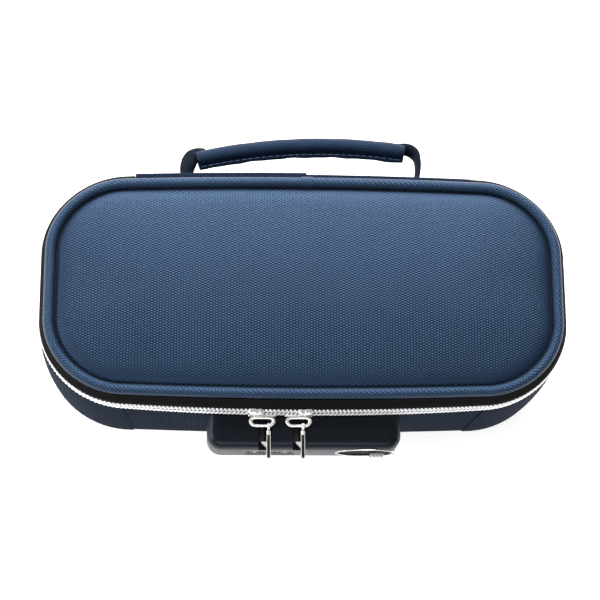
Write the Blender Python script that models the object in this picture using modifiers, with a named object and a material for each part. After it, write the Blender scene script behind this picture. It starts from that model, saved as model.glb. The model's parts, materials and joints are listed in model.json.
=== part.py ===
"""Lockable cash deposit bag: a soft-sided case with a zipped lid, a carry handle and a number lock.

Metres, +Z up, +X to the right, the lock on the -Y side and the handle on the +Y side.
The origin is the middle of the base's underside.
"""

import math

import bmesh
import bpy
from mathutils import Matrix, Vector

MM = 0.001
GAP = 0.3 * MM

# Plan of the lid, measured over its piping. Every cloth, board and tape takes its shape from this.
LID_LENGTH = 246.4 * MM
LID_DEPTH = 108.7 * MM
CORNER_RADIUS = 37 * MM
END_BOW = 0.4 * MM
SIDE_BOW = 3.3 * MM
CORNER_STEPS = 9
SIDE_STEPS = 10
END_STEPS = 3

# Heights.
BAG_HEIGHT = 75.1 * MM
ZIP_DROP = 11.75 * MM

# Cloths, foams and boards.
WALL_OUT = 3.4 * MM
CLOTH = 1.2 * MM
WALL_FOAM = 3.5 * MM
LINING = 0.6 * MM
BASE_ROUND = 4 * MM
BASE_BOARD = 2 * MM
LID_BOARD = 4 * MM
PIPING_RADIUS = 2.5 * MM
HINGE_HALF = 81.5 * MM

# Zipper.
TEETH_HEIGHT = 2.9 * MM
TEETH_DEPTH = 1.9 * MM
TEETH_OUT = 3.3 * MM
TAPE = 0.9 * MM

# Sliders, bails and pull tabs. The left set lies about SLIDERS_MIDDLE - SLIDER_SPREAD.
SLIDERS_MIDDLE = -11.4 * MM
SLIDER_SPREAD = 8.6 * MM
SLIDER_LENGTH = 13.2 * MM
SLIDER_PLATE = 0.9 * MM
CROWN_LENGTH = 7 * MM
CROWN_DEPTH = 2.25 * MM
BAIL_RADIUS = 0.6 * MM
BAIL_WIDTH = 11 * MM
BAIL_REACH = 3.1 * MM
BAIL_DROP = 1 * MM
TAB_LENGTH = 15.6 * MM
TAB_THICK = 2 * MM
TAB_HEIGHT = 4.7 * MM
EAR_OUT = 2.4 * MM
EAR_BACK = 7.4 * MM
EAR_FRONT = 10.2 * MM

# Lock.
LOCK_WIDTH = 92 * MM
LOCK_DEPTH = 17.5 * MM
LOCK_HEIGHT = 22 * MM
LOCK_CORNER = 7 * MM
LOCK_WALL = 1.8 * MM
LOCK_FRONT_WALL = 3.4 * MM
LOCK_EDGE = 2.2 * MM
CHANNEL_WIDTH = 6.1 * MM
CHANNEL_DEPTH = 5.6 * MM
DIAL_RADIUS = 6 * MM
DIAL_WIDTH = 5.6 * MM
DIAL_PITCH = 7.2 * MM
DIALS_X = -16 * MM
SHAFT_RADIUS = 1.5 * MM
DISH_X = 29.7 * MM
DISH_HALF_LENGTH = 13.6 * MM
DISH_HALF_HEIGHT = 7.8 * MM
DISH_DEPTH = 2.2 * MM
CATCH_X = 35.1 * MM
CATCH_LENGTH = 6.6 * MM
CATCH_HEIGHT = 8.4 * MM
CATCH_OUT = 3.4 * MM
LATCH_TRAVEL = 5 * MM
LATCH_BAR = 1.2 * MM
LATCH_BAR_HEIGHT = 3 * MM
SCREW_RADIUS = 1.2 * MM
SCREW_X = 40 * MM

# Handle.
HANDLE_Z = 42 * MM
HANDLE_ANCHOR_X = 57.4 * MM
GRIP_HALF = 52 * MM
GRIP_OUT = 18 * MM
GRIP_RISE = 5.1 * MM
GRIP_TILT = 2.5 * MM
GRIP_THICK = 9.5 * MM
GRIP_TALL = 11 * MM
GRIP_CLOTH = 1.2 * MM
WEBBING_THICK = 2.4 * MM
WEBBING_TALL = 6 * MM
PATCH_WIDTH = 22 * MM
PATCH_HEIGHT = 18 * MM
PATCH_THICK = 1.6 * MM
HANDLE_PLAY = 1.5 * MM

# Worked out from the values above.
HALF_LENGTH = LID_LENGTH / 2
HALF_DEPTH = LID_DEPTH / 2
STRAIGHT_X = HALF_LENGTH - CORNER_RADIUS
STRAIGHT_Y = HALF_DEPTH - CORNER_RADIUS
ZIP_Z = BAG_HEIGHT - ZIP_DROP
PIPING_Z = BAG_HEIGHT - PIPING_RADIUS
WALL_IN = WALL_OUT - CLOTH
FOAM_OUT = WALL_IN - GAP
FOAM_IN = FOAM_OUT - WALL_FOAM
LINING_OUT = FOAM_IN - GAP
LINING_IN = LINING_OUT - LINING
LOWER_TEETH_FOOT = ZIP_Z - GAP / 2 - TEETH_HEIGHT
WALL_TOP = LOWER_TEETH_FOOT - 2 * GAP
LOCK_TOP = LOWER_TEETH_FOOT - 1.3 * GAP
LOCK_FOOT = LOCK_TOP - LOCK_HEIGHT
LOCK_BACK = -(HALF_DEPTH + WALL_OUT) - GAP
LOCK_FRONT = LOCK_BACK - LOCK_DEPTH
LOCK_MIDDLE_Z = LOCK_FOOT + LOCK_WALL + GAP + DIAL_RADIUS
PATCH_FRONT = HALF_DEPTH + WALL_OUT + GAP
HANDLE_Y = PATCH_FRONT + PATCH_THICK + HANDLE_PLAY


def clear_scene():
    for item in list(bpy.data.objects):
        bpy.data.objects.remove(item, do_unlink=True)


def new_collection(name):
    group = bpy.data.collections.new(name)
    bpy.context.scene.collection.children.link(group)
    return group


clear_scene()
PARTS = new_collection("cash_deposit_bag")
CUTTERS = new_collection("cutters")


def new_material(name, colour, roughness, metallic=0.0):
    made = bpy.data.materials.new(name)
    made.use_nodes = True
    shader = made.node_tree.nodes["Principled BSDF"]
    shader.inputs["Base Color"].default_value = (*colour, 1.0)
    shader.inputs["Roughness"].default_value = roughness
    shader.inputs["Metallic"].default_value = metallic
    return made


NAVY = new_material("navy_woven_cloth", (0.03, 0.06, 0.12), 0.75)
BLACK_TAPE = new_material("black_zip_tape", (0.008, 0.008, 0.009), 0.8)
LINING_CLOTH = new_material("grey_lining", (0.12, 0.12, 0.13), 0.8)
FOAM = new_material("black_foam", (0.02, 0.02, 0.02), 0.9)
BOARD = new_material("grey_board", (0.2, 0.2, 0.2), 0.6)
NICKEL = new_material("bright_nickel", (0.7, 0.7, 0.68), 0.2, 1.0)
SILVER = new_material("silver_teeth", (0.6, 0.62, 0.65), 0.3, 0.9)
ABS = new_material("black_abs", (0.01, 0.01, 0.012), 0.35)
STEEL = new_material("zinc_steel", (0.5, 0.5, 0.5), 0.35, 1.0)
DARK_METAL = new_material("dark_plated_metal", (0.12, 0.12, 0.13), 0.3, 1.0)


def place(made, material):
    """Put an object in the parts collection, or with the cutters when it has no material."""
    group = PARTS if material else CUTTERS
    group.objects.link(made)
    if material:
        made.data.materials.clear()
        made.data.materials.append(material)
    else:
        made.hide_render = True
        made.display_type = "WIRE"
    return made


def from_bmesh(name, shape, material):
    mesh = bpy.data.meshes.new(name)
    shape.to_mesh(mesh)
    shape.free()
    return place(bpy.data.objects.new(name, mesh), material)


def box(name, low, high, material=None, edge=0.0):
    """A box between two corners, with rounded edges when edge is given."""
    low = Vector(low)
    high = Vector(high)
    shape = bmesh.new()
    bmesh.ops.create_cube(shape, size=1.0)
    bmesh.ops.scale(shape, vec=high - low, verts=shape.verts)
    bmesh.ops.translate(shape, vec=(high + low) / 2, verts=shape.verts)
    made = from_bmesh(name, shape, material)
    if edge:
        bevel = made.modifiers.new("rounded_edges", "BEVEL")
        bevel.width = edge
        bevel.segments = 2
    return made


def rod(name, axis, start, length, radius, material=None, far_radius=None, sides=16):
    """A cylinder or cone from start along the X, Y or Z axis; length may be negative."""
    shape = bmesh.new()
    bmesh.ops.create_cone(
        shape,
        cap_ends=True,
        segments=sides,
        radius1=radius,
        radius2=radius if far_radius is None else far_radius,
        depth=abs(length),
    )
    direction = Vector(axis) * math.copysign(1.0, length)
    turn = Vector((0, 0, 1)).rotation_difference(direction).to_matrix().to_4x4()
    shift = Matrix.Translation(Vector(start) + Vector(axis) * length / 2)
    bmesh.ops.transform(shape, matrix=shift @ turn, verts=shape.verts)
    return from_bmesh(name, shape, material)


def boolean(target, tool, operation="DIFFERENCE"):
    step = target.modifiers.new(tool.name, "BOOLEAN")
    step.operation = operation
    step.object = tool
    step.solver = "EXACT"


def flat_curve(name, loops, half_thickness=0.0, closed=True):
    """A 2D curve of straight runs; more than one loop leaves holes."""
    data = bpy.data.curves.new(name, "CURVE")
    data.dimensions = "2D"
    data.fill_mode = "BOTH" if half_thickness else "NONE"
    data.extrude = half_thickness
    for loop in loops:
        spline = data.splines.new("POLY")
        spline.points.add(len(loop) - 1)
        for point, (x, y) in zip(spline.points, loop):
            point.co = (x, y, 0, 1)
        spline.use_cyclic_u = closed
    return bpy.data.objects.new(name, data)


def as_mesh(curve, material, extra=()):
    """The evaluated shape of a curve as a welded mesh object; the curve is removed."""
    bpy.context.scene.collection.objects.link(curve)
    for helper in extra:
        bpy.context.scene.collection.objects.link(helper)
    view = bpy.context.evaluated_depsgraph_get()
    view.update()
    mesh = bpy.data.meshes.new_from_object(curve.evaluated_get(view))
    shape = bmesh.new()
    shape.from_mesh(mesh)
    bmesh.ops.remove_doubles(shape, verts=shape.verts, dist=0.001 * MM)
    bmesh.ops.recalc_face_normals(shape, faces=shape.faces)
    shape.to_mesh(mesh)
    shape.free()
    name = curve.name
    place_of = curve.matrix_world.copy()
    for helper in (curve, *extra):
        bpy.data.objects.remove(helper, do_unlink=True)
    made = bpy.data.objects.new(name, mesh)
    made.matrix_world = place_of
    mesh.shade_smooth()
    mesh.set_sharp_from_angle(angle=math.radians(35))
    return place(made, material)


def sweep(name, path, section, material, closed=False, height=0.0, capped=True):
    """A section of (outward, up) points carried along an anticlockwise path of (x, y) points."""
    outward = -1 if closed else 1
    curve = flat_curve(name, [path], closed=closed)
    profile = flat_curve(name + "_section", [[(outward * out, up) for out, up in section]])
    curve.data.bevel_mode = "OBJECT"
    curve.data.bevel_object = profile
    curve.data.use_fill_caps = capped and not closed
    curve.location.z = height
    return as_mesh(curve, material, extra=(profile,))


def plate(name, loops, foot, thickness, material):
    curve = flat_curve(name, loops, half_thickness=thickness / 2)
    curve.location.z = foot + thickness / 2
    return as_mesh(curve, material)


def arc(centre, radius, start, end, steps):
    """Points from one angle to another, in degrees, ends included."""
    angles = [math.radians(start + (end - start) * i / steps) for i in range(steps + 1)]
    return [(centre[0] + radius * math.cos(a), centre[1] + radius * math.sin(a)) for a in angles]


def between(start, end, steps):
    return [start + (end - start) * i / steps for i in range(steps + 1)]


def bowed(points, out=0.0):
    """Straight-sided plan points with the slight outward bow that the stuffed sides have."""
    made = []
    for x, y in points:
        inward_x = END_BOW * (y / HALF_DEPTH) ** 2 * x / (HALF_LENGTH + out)
        inward_y = SIDE_BOW * (x / HALF_LENGTH) ** 2 * y / (HALF_DEPTH + out)
        made.append((x - inward_x, y - inward_y))
    return made


def corner(x_side, y_side, start, out=0.0):
    centre = (x_side * STRAIGHT_X, y_side * STRAIGHT_Y)
    return arc(centre, CORNER_RADIUS + out, start, start + 90, CORNER_STEPS)


def end_run(x_side, down, out=0.0):
    x = x_side * (HALF_LENGTH + out)
    ys = between(STRAIGHT_Y * down, -STRAIGHT_Y * down, END_STEPS)
    return [(x, y) for y in ys[1:-1]]


def side_run(y_side, start, end, out=0.0, steps=SIDE_STEPS):
    return [(x, y_side * (HALF_DEPTH + out)) for x in between(start, end, steps)]


def left_round(back_x, out=0.0):
    """Anticlockwise from the back at -back_x round the left end to the front corner."""
    start = side_run(1, -back_x, -STRAIGHT_X, out, 1)[:-1]
    return start + corner(-1, 1, 90, out) + end_run(-1, 1, out) + corner(-1, -1, 180, out)


def right_round(back_x, out=0.0):
    """Anticlockwise from the front corner round the right end to the back at back_x."""
    last = side_run(1, STRAIGHT_X, back_x, out, 1)[1:]
    return corner(1, -1, 270, out) + end_run(1, -1, out) + corner(1, 1, 0, out) + last


def front_run(out=0.0):
    return side_run(-1, -STRAIGHT_X, STRAIGHT_X, out)


def whole_outline(out=0.0):
    back = side_run(1, HINGE_HALF, -HINGE_HALF, out)[1:-1]
    ends = (left_round(HINGE_HALF, out), front_run(out)[1:-1], right_round(HINGE_HALF, out), back)
    return bowed([point for run in ends for point in run], out)


def zip_path():
    ends = (left_round(HINGE_HALF + GAP), front_run()[1:-1], right_round(HINGE_HALF + GAP))
    return bowed([point for run in ends for point in run])


def seam_trimmed(path, at_start, at_end):
    """A path shortened by half a gap at each end that meets another cloth."""
    trimmed = [Vector(point) for point in path]
    if at_start:
        trimmed[0] = trimmed[0] + (trimmed[1] - trimmed[0]).normalized() * GAP / 2
    if at_end:
        trimmed[-1] = trimmed[-1] + (trimmed[-2] - trimmed[-1]).normalized() * GAP / 2
    return [tuple(point) for point in trimmed]


def rectangle(inner, outer, foot, top):
    return [(outer, foot), (outer, top), (inner, top), (inner, foot)]


# ---------------------------------------------------------------- body of the bag


def wall_section(top):
    """Upright cloth whose foot turns in under the bag on a quarter round."""
    centre = (WALL_OUT - BASE_ROUND, BASE_ROUND)
    outside = arc(centre, BASE_ROUND, -90, 0, 4)
    inside = arc(centre, BASE_ROUND - CLOTH, 0, -90, 4)
    return outside + [(WALL_OUT, top), (WALL_IN, top)] + inside


def make_walls():
    runs = {
        "wall_front_cloth": (bowed(front_run()), WALL_TOP),
        "wall_left_cloth": (bowed(left_round(HINGE_HALF)), WALL_TOP),
        "wall_right_cloth": (bowed(right_round(HINGE_HALF)), WALL_TOP),
        "wall_back_cloth": (bowed(side_run(1, HINGE_HALF, -HINGE_HALF)), ZIP_Z - 1.5 * GAP),
    }
    cloths = {}
    for name, (path, top) in runs.items():
        cloths[name] = sweep(name, seam_trimmed(path, True, True), wall_section(top), NAVY)
    outline = whole_outline()
    foam_foot = BASE_ROUND + GAP
    foam = sweep(
        "wall_foam", outline, rectangle(FOAM_IN, FOAM_OUT, foam_foot, WALL_TOP - 1.3 * GAP), FOAM, True
    )
    lining = sweep(
        "wall_lining",
        outline,
        rectangle(LINING_IN, LINING_OUT, foam_foot, WALL_TOP - 1.3 * GAP),
        LINING_CLOTH,
        True,
    )
    return cloths["wall_front_cloth"], foam, lining


def make_base():
    flat_edge = WALL_OUT - BASE_ROUND - GAP
    plate("base_cloth", [whole_outline(flat_edge)], 0.0, CLOTH, NAVY)
    board_foot = CLOTH + GAP
    plate("base_board", [whole_outline(flat_edge)], board_foot, BASE_BOARD, BOARD)
    lining_foot = board_foot + BASE_BOARD + GAP
    plate("base_lining", [whole_outline(LINING_IN - GAP)], lining_foot, LINING, LINING_CLOTH)


# ---------------------------------------------------------------- lid


def make_lid():
    panel_edge = -2 * PIPING_RADIUS - GAP
    cover_foot = PIPING_Z - CLOTH / 2 + 0.4 * MM
    plate("lid_cover_cloth", [whole_outline(panel_edge)], cover_foot, CLOTH, NAVY)
    board_foot = cover_foot - GAP - LID_BOARD
    plate("lid_board", [whole_outline(panel_edge)], board_foot, LID_BOARD, FOAM)
    lining_foot = board_foot - GAP - LINING
    plate("lid_lining", [whole_outline(panel_edge)], lining_foot, LINING, LINING_CLOTH)
    cord = arc((-PIPING_RADIUS, PIPING_Z), PIPING_RADIUS, 0, 330, 11)
    sweep("lid_piping", whole_outline(), cord, NAVY, True)


def make_hinge_cloth():
    """Cloth from the piping down to the fold line of the lid."""
    foot = ZIP_Z + GAP / 2
    piping_foot = PIPING_Z - 1.4 * MM
    section = [
        (WALL_OUT, foot),
        (WALL_OUT - 0.2 * MM, foot + 3 * MM),
        (PIPING_RADIUS * 0.24, piping_foot),
        (-PIPING_RADIUS * 0.2, piping_foot - 0.6 * MM),
        (WALL_IN, foot + 2.7 * MM),
        (WALL_IN, foot),
    ]
    path = bowed(side_run(1, HINGE_HALF, -HINGE_HALF))
    sweep("hinge_cloth", seam_trimmed(path, True, True), section, NAVY)


# ---------------------------------------------------------------- zipper


def make_zipper():
    path = zip_path()
    upper_foot = ZIP_Z + GAP / 2
    upper_top = upper_foot + TEETH_HEIGHT
    lean = 0.7 * MM
    upper_in = TEETH_OUT - lean
    lower_in = TEETH_OUT + 0.3 * MM
    sweep("upper_teeth", path, rectangle(upper_in, upper_in + TEETH_DEPTH, upper_foot, upper_top), SILVER)
    lower_top = ZIP_Z - GAP / 2
    sweep(
        "lower_teeth", path, rectangle(lower_in, lower_in + TEETH_DEPTH, LOWER_TEETH_FOOT, lower_top), SILVER
    )
    piping_foot = PIPING_Z - 1.4 * MM
    upper_tape = [
        (upper_in + 1.3 * MM, upper_top + GAP),
        (PIPING_RADIUS * 0.24, piping_foot),
        (-PIPING_RADIUS * 0.2, piping_foot - 0.6 * MM),
        (upper_in, upper_top + GAP),
    ]
    sweep("upper_tape", path, upper_tape, BLACK_TAPE)
    tape_out = lower_in - GAP
    lower_tape = rectangle(tape_out - TAPE, tape_out, WALL_TOP + GAP, lower_top)
    sweep("lower_tape", path, lower_tape, BLACK_TAPE)


def slider_body(side, middle):
    """Front plate with its crown, and the back plate behind the teeth. The crown is on the outer end."""
    name = "left" if side < 0 else "right"
    teeth_front = -(HALF_DEPTH + TEETH_OUT + 0.3 * MM + TEETH_DEPTH)
    plate_back = teeth_front - GAP
    plate_front = plate_back - SLIDER_PLATE
    foot = LOCK_TOP + 1.3 * GAP
    top = ZIP_Z + TEETH_HEIGHT + GAP
    half = SLIDER_LENGTH / 2
    body = box(
        f"slider_{name}",
        (middle - half, plate_front, foot),
        (middle + half, plate_back, top),
        NICKEL,
        0.35 * MM,
    )
    outer = middle + side * (half - 0.5 * MM)
    inner = outer - side * CROWN_LENGTH
    crown = box(
        f"crown_block_{name}",
        (min(outer, inner), plate_front - CROWN_DEPTH, foot + 0.2 * MM),
        (max(outer, inner), plate_back - 0.1 * MM, top + 1.6 * MM),
    )
    boolean(body, crown, "UNION")
    pivot = Vector((middle, plate_front - BAIL_RADIUS - 0.4 * MM, ZIP_Z - 1.05 * MM))
    tunnel = rod(
        f"crown_tunnel_{name}",
        (1, 0, 0),
        pivot - Vector((SLIDER_LENGTH, 0, 0)),
        2 * SLIDER_LENGTH,
        BAIL_RADIUS + 0.25 * MM,
    )
    boolean(body, tunnel)
    leg = middle + side * BAIL_WIDTH / 2
    slot_half = BAIL_RADIUS + GAP
    slot = box(
        f"leg_slot_{name}",
        (leg - slot_half - (0.8 * MM if side > 0 else 0), plate_front - 2 * CROWN_DEPTH, foot - 1 * MM),
        (leg + slot_half + (0.8 * MM if side < 0 else 0), plate_front - 0.12 * MM, ZIP_Z + 1.0 * MM),
    )
    boolean(body, slot)
    back_out = -(HALF_DEPTH + TEETH_OUT - TAPE - 2 * GAP - 0.5 * MM)
    box(
        f"slider_back_{name}",
        (middle - half, back_out, WALL_TOP + 2 * GAP),
        (middle + half, back_out + 0.7 * MM, ZIP_Z + TEETH_HEIGHT + GAP / 2),
        NICKEL,
    )
    return name, pivot


def make_bail(name, pivot):
    """Closed wire loop: its back bar turns in the crown and its front bar carries the pull tab."""
    half = BAIL_WIDTH / 2
    turn = 1.2 * MM
    reach = math.hypot(BAIL_REACH, BAIL_DROP)
    loop = arc((half - turn, -turn), turn, 90, 0, 3)
    loop += arc((half - turn, -reach + turn), turn, 0, -90, 3)
    loop += arc((-half + turn, -reach + turn), turn, -90, -180, 3)
    loop += arc((-half + turn, -turn), turn, 180, 90, 3)
    wire = flat_curve(f"bail_{name}", [loop])
    wire.data.bevel_depth = BAIL_RADIUS
    wire.data.bevel_resolution = 1
    tilt = Matrix.Rotation(math.atan2(BAIL_DROP, BAIL_REACH), 4, "X")
    wire.matrix_world = Matrix.Translation(pivot) @ tilt
    as_mesh(wire, NICKEL)


def make_tab(name, eye, tab_x):
    """Flat tab standing on edge, with an eye round the bail and an ear on its left face."""
    hole = BAIL_RADIUS + GAP
    eye_radius = hole + 0.6 * MM
    top = -0.7 * MM
    foot = top - TAB_HEIGHT
    shoulder = -eye_radius - 0.6 * MM
    side = arc((0, 0), eye_radius, 235, -60, 12)
    outline = side + [(shoulder - 1.0 * MM, foot), (-TAB_LENGTH + 1.0 * MM, foot)]
    outline += [(-TAB_LENGTH, foot + 1.0 * MM), (-TAB_LENGTH, top - 0.6 * MM), (-TAB_LENGTH + 0.6 * MM, top)]
    outline += [(shoulder, top)]
    ring = arc((0, 0), hole, 0, 330, 11)
    blank = flat_curve(f"tab_{name}", [outline, ring], half_thickness=TAB_THICK / 2)
    stand = Matrix(((0, 0, 1, 0), (1, 0, 0, 0), (0, 1, 0, 0), (0, 0, 0, 1)))
    blank.matrix_world = Matrix.Translation((tab_x, eye.y, eye.z)) @ stand
    tab = as_mesh(blank, NICKEL)
    left = -TAB_THICK / 2
    ear_plan = [(left + 0.2 * MM, -EAR_BACK), (left + 0.2 * MM, -EAR_FRONT), (left, -EAR_FRONT)]
    ear_plan += [(left - EAR_OUT, -EAR_BACK - 0.4 * MM), (left - EAR_OUT, -EAR_BACK)]
    ear = flat_curve(f"ear_{name}", [ear_plan], half_thickness=1.2 * MM)
    ear.matrix_world = Matrix.Translation((tab_x, eye.y, eye.z + top - 1.6 * MM))
    boolean(tab, as_mesh(ear, None), "UNION")


def make_sliders(lock):
    fingers = []
    for side in (-1, 1):
        middle = SLIDERS_MIDDLE + side * SLIDER_SPREAD
        name, pivot = slider_body(side, middle)
        make_bail(name, pivot)
        eye = pivot + Vector((0, -BAIL_REACH, -BAIL_DROP))
        tab_x = middle + BAIL_WIDTH / 2 - (2.4 * MM if side < 0 else 3.4 * MM)
        make_tab(name, eye, tab_x)
        channel_right = tab_x + TAB_THICK / 2 + 0.45 * MM
        channel_left = channel_right - CHANNEL_WIDTH
        channel = box(
            f"tab_channel_{name}",
            (channel_left, LOCK_FRONT - 5 * MM, LOCK_TOP - CHANNEL_DEPTH),
            (channel_right, LOCK_BACK - 3 * MM, LOCK_TOP + 2 * MM),
        )
        boolean(lock, channel)
        fingers.append((name, channel_left, eye.y - EAR_BACK))
    return fingers


# ---------------------------------------------------------------- lock


def lock_plan(inset, back, corner_radius):
    half = LOCK_WIDTH / 2 - inset
    front = LOCK_FRONT + inset
    left = arc((-half + corner_radius, front + corner_radius), corner_radius, 180, 270, 8)
    right = arc((half - corner_radius, front + corner_radius), corner_radius, 270, 360, 8)
    return [(-half, back)] + left + right + [(half, back)]


def make_lock_housing():
    housing = plate("lock_housing", [lock_plan(0, LOCK_BACK, LOCK_CORNER)], LOCK_FOOT, LOCK_HEIGHT, ABS)
    edges = housing.modifiers.new("rounded_edges", "BEVEL")
    edges.width = LOCK_EDGE
    edges.segments = 3
    edges.limit_method = "ANGLE"
    edges.angle_limit = math.radians(60)
    room_top = LOCK_TOP - CHANNEL_DEPTH - 2 * MM
    half = LOCK_WIDTH / 2 - LOCK_WALL - 1 * MM
    room = box(
        "lock_room",
        (-half + 6 * MM, LOCK_FRONT + LOCK_FRONT_WALL, LOCK_FOOT + LOCK_WALL),
        (half - 6 * MM, LOCK_BACK + 1 * MM, room_top),
    )
    boolean(housing, room)
    return housing, room_top


def make_dials(housing):
    dial_y = LOCK_FRONT + DIAL_RADIUS + GAP
    wall_back = LOCK_FRONT + LOCK_FRONT_WALL
    window_half = math.sqrt(DIAL_RADIUS**2 - (dial_y - wall_back) ** 2) + GAP
    reach = DIAL_PITCH + DIAL_WIDTH / 2
    scoop_half = reach + 1.6 * MM
    scoop = box(
        "dial_scoop",
        (DIALS_X - scoop_half, LOCK_FRONT - 1 * MM, LOCK_MIDDLE_Z - 4.6 * MM),
        (DIALS_X + scoop_half, LOCK_FRONT + 0.8 * MM, LOCK_MIDDLE_Z + 4.6 * MM),
    )
    boolean(housing, scoop)
    for index in range(3):
        x = DIALS_X + (index - 1) * DIAL_PITCH
        half = DIAL_WIDTH / 2
        opening = box(
            f"dial_opening_{index + 1}",
            (x - half - GAP, LOCK_FRONT - 1 * MM, LOCK_MIDDLE_Z - window_half),
            (x + half + GAP, wall_back + 1 * MM, LOCK_MIDDLE_Z + window_half),
        )
        boolean(housing, opening)
        headroom = box(
            f"dial_headroom_{index + 1}",
            (x - half - GAP, wall_back + 0.1 * MM, LOCK_MIDDLE_Z),
            (x + half + GAP, dial_y + DIAL_RADIUS + GAP, LOCK_MIDDLE_Z + DIAL_RADIUS + GAP),
        )
        boolean(housing, headroom)
        rim = []
        for step in range(10):
            middle = 36 * step
            rim += arc((0, 0), DIAL_RADIUS, middle - 12, middle + 12, 1)
            rim += arc((0, 0), DIAL_RADIUS - 0.5 * MM, middle + 18, middle + 18.01, 1)[:1]
        bore = arc((0, 0), SHAFT_RADIUS + GAP, 0, 330, 11)
        dial = flat_curve(f"dial_{index + 1}", [rim, bore], half_thickness=half)
        dial.matrix_world = Matrix.Translation((x, dial_y, LOCK_MIDDLE_Z)) @ Matrix.Rotation(
            math.pi / 2, 4, "Y"
        )
        as_mesh(dial, STEEL)
    shaft_half = reach + 2.4 * MM
    for side in (-1, 1):
        name = "left" if side < 0 else "right"
        middle = DIALS_X + side * (reach + 1.4 * MM)
        rib = box(
            f"shaft_rib_{name}",
            (middle - 0.9 * MM, wall_back - 0.7 * MM, LOCK_MIDDLE_Z - 3 * MM),
            (middle + 0.9 * MM, dial_y + 2.7 * MM, LOCK_MIDDLE_Z + 3 * MM),
        )
        boolean(housing, rib, "UNION")
    start = (DIALS_X - shaft_half, dial_y, LOCK_MIDDLE_Z)
    bearing = rod("shaft_bearing", (1, 0, 0), start, 2 * shaft_half, SHAFT_RADIUS + GAP, sides=12)
    boolean(housing, bearing)
    rod("dial_shaft", (1, 0, 0), start, 2 * shaft_half, SHAFT_RADIUS, STEEL, sides=12)


def make_latch(housing, fingers, room_top):
    """Bar behind the dials with a finger into each tab channel, and the ribbed thumb catch at its right."""
    bar_back = LOCK_BACK - 0.8 * MM
    bar_front = bar_back - LATCH_BAR
    bar_top = room_top - GAP
    bar_foot = bar_top - LATCH_BAR_HEIGHT
    finger_thick = 2.4 * MM
    finger_top = LOCK_TOP - 1.4 * MM
    fin_foot = LOCK_TOP - CHANNEL_DEPTH + GAP
    catch_left = CATCH_X - CATCH_LENGTH / 2
    catch_right = CATCH_X + CATCH_LENGTH / 2
    bar_left = fingers[0][1] - 1 * MM
    bar = box("latch_bar", (bar_left, bar_front, bar_foot), (CATCH_X + 2 * MM, bar_back, bar_top), STEEL)
    for name, channel_left, ear_y in fingers:
        low_x = channel_left + 0.3 * MM
        high_x = low_x + finger_thick
        post = box(
            f"finger_post_{name}", (low_x, bar_front, bar_foot + 1 * MM), (high_x, bar_back, finger_top)
        )
        fin = box(
            f"finger_fin_{name}",
            (low_x, ear_y + 0.5 * MM, fin_foot),
            (high_x, bar_back - 0.2 * MM, finger_top),
        )
        boolean(bar, post, "UNION")
        boolean(bar, fin, "UNION")
        pocket_left = low_x - LATCH_TRAVEL - GAP
        post_room = box(
            f"post_room_{name}",
            (pocket_left, bar_front - GAP, room_top - 1 * MM),
            (high_x + GAP, bar_back + GAP, finger_top + GAP),
        )
        fin_room = box(
            f"fin_room_{name}",
            (pocket_left, ear_y + 0.2 * MM, fin_foot - GAP),
            (high_x + GAP, bar_back + GAP, finger_top + GAP),
        )
        boolean(housing, post_room)
        boolean(housing, fin_room)
    dish_z = LOCK_MIDDLE_Z + 2.3 * MM
    dish = rod(
        "thumb_dish",
        (0, 1, 0),
        (0, LOCK_FRONT - 0.5 * MM, 0),
        DISH_DEPTH + 0.5 * MM,
        DISH_HALF_LENGTH + 0.4 * MM,
        far_radius=DISH_HALF_LENGTH - 1.7 * MM,
        sides=40,
    )
    dish.data.transform(Matrix.Diagonal((1, 1, DISH_HALF_HEIGHT / DISH_HALF_LENGTH, 1)))
    dish.data.transform(Matrix.Translation((DISH_X, 0, dish_z)))
    boolean(housing, dish)
    dish_floor = LOCK_FRONT + DISH_DEPTH
    neck_half = 2 * MM
    catch = box(
        "thumb_catch",
        (catch_left, LOCK_FRONT + DISH_DEPTH - GAP - CATCH_OUT, dish_z - CATCH_HEIGHT / 2),
        (catch_right, dish_floor - GAP, dish_z + CATCH_HEIGHT / 2),
        DARK_METAL,
        0.4 * MM,
    )
    for index in range(3):
        x = catch_left + (index + 1) * CATCH_LENGTH / 4
        groove = box(
            f"catch_groove_{index + 1}",
            (x - 0.3 * MM, LOCK_FRONT - 5 * MM, dish_z - CATCH_HEIGHT),
            (x + 0.3 * MM, dish_floor - GAP - CATCH_OUT + 0.6 * MM, dish_z + CATCH_HEIGHT),
        )
        boolean(catch, groove)
    neck_foot = bar_foot
    neck = box(
        "catch_neck",
        (CATCH_X - neck_half, dish_floor - 1 * MM, neck_foot),
        (CATCH_X + neck_half, bar_front - GAP, neck_foot + 2.6 * MM),
    )
    boolean(catch, neck, "UNION")
    catch_slot = box(
        "catch_slot",
        (CATCH_X - neck_half - LATCH_TRAVEL - GAP, LOCK_FRONT - 1 * MM, neck_foot - GAP),
        (CATCH_X + neck_half + GAP, LOCK_FRONT + LOCK_FRONT_WALL + 1 * MM, neck_foot + 2.6 * MM + GAP),
    )
    boolean(housing, catch_slot)
    rim_loop = []
    for step in range(32):
        angle = 2 * math.pi * step / 32
        x = (DISH_HALF_LENGTH + 0.5 * MM) * math.cos(angle)
        rim_loop.append((x, (DISH_HALF_HEIGHT + 0.5 * MM) * math.sin(angle)))
    rim = flat_curve("dish_rim", [rim_loop])
    rim.data.bevel_depth = 0.4 * MM
    rim.data.bevel_resolution = 1
    rim.matrix_world = Matrix.Translation(
        (DISH_X, LOCK_FRONT - 0.4 * MM - GAP, dish_z)
    ) @ Matrix.Rotation(math.pi / 2, 4, "X")
    as_mesh(rim, NICKEL)
    make_latch_spring(bar_left, (bar_front + bar_back) / 2, (bar_foot + bar_top) / 2)


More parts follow.
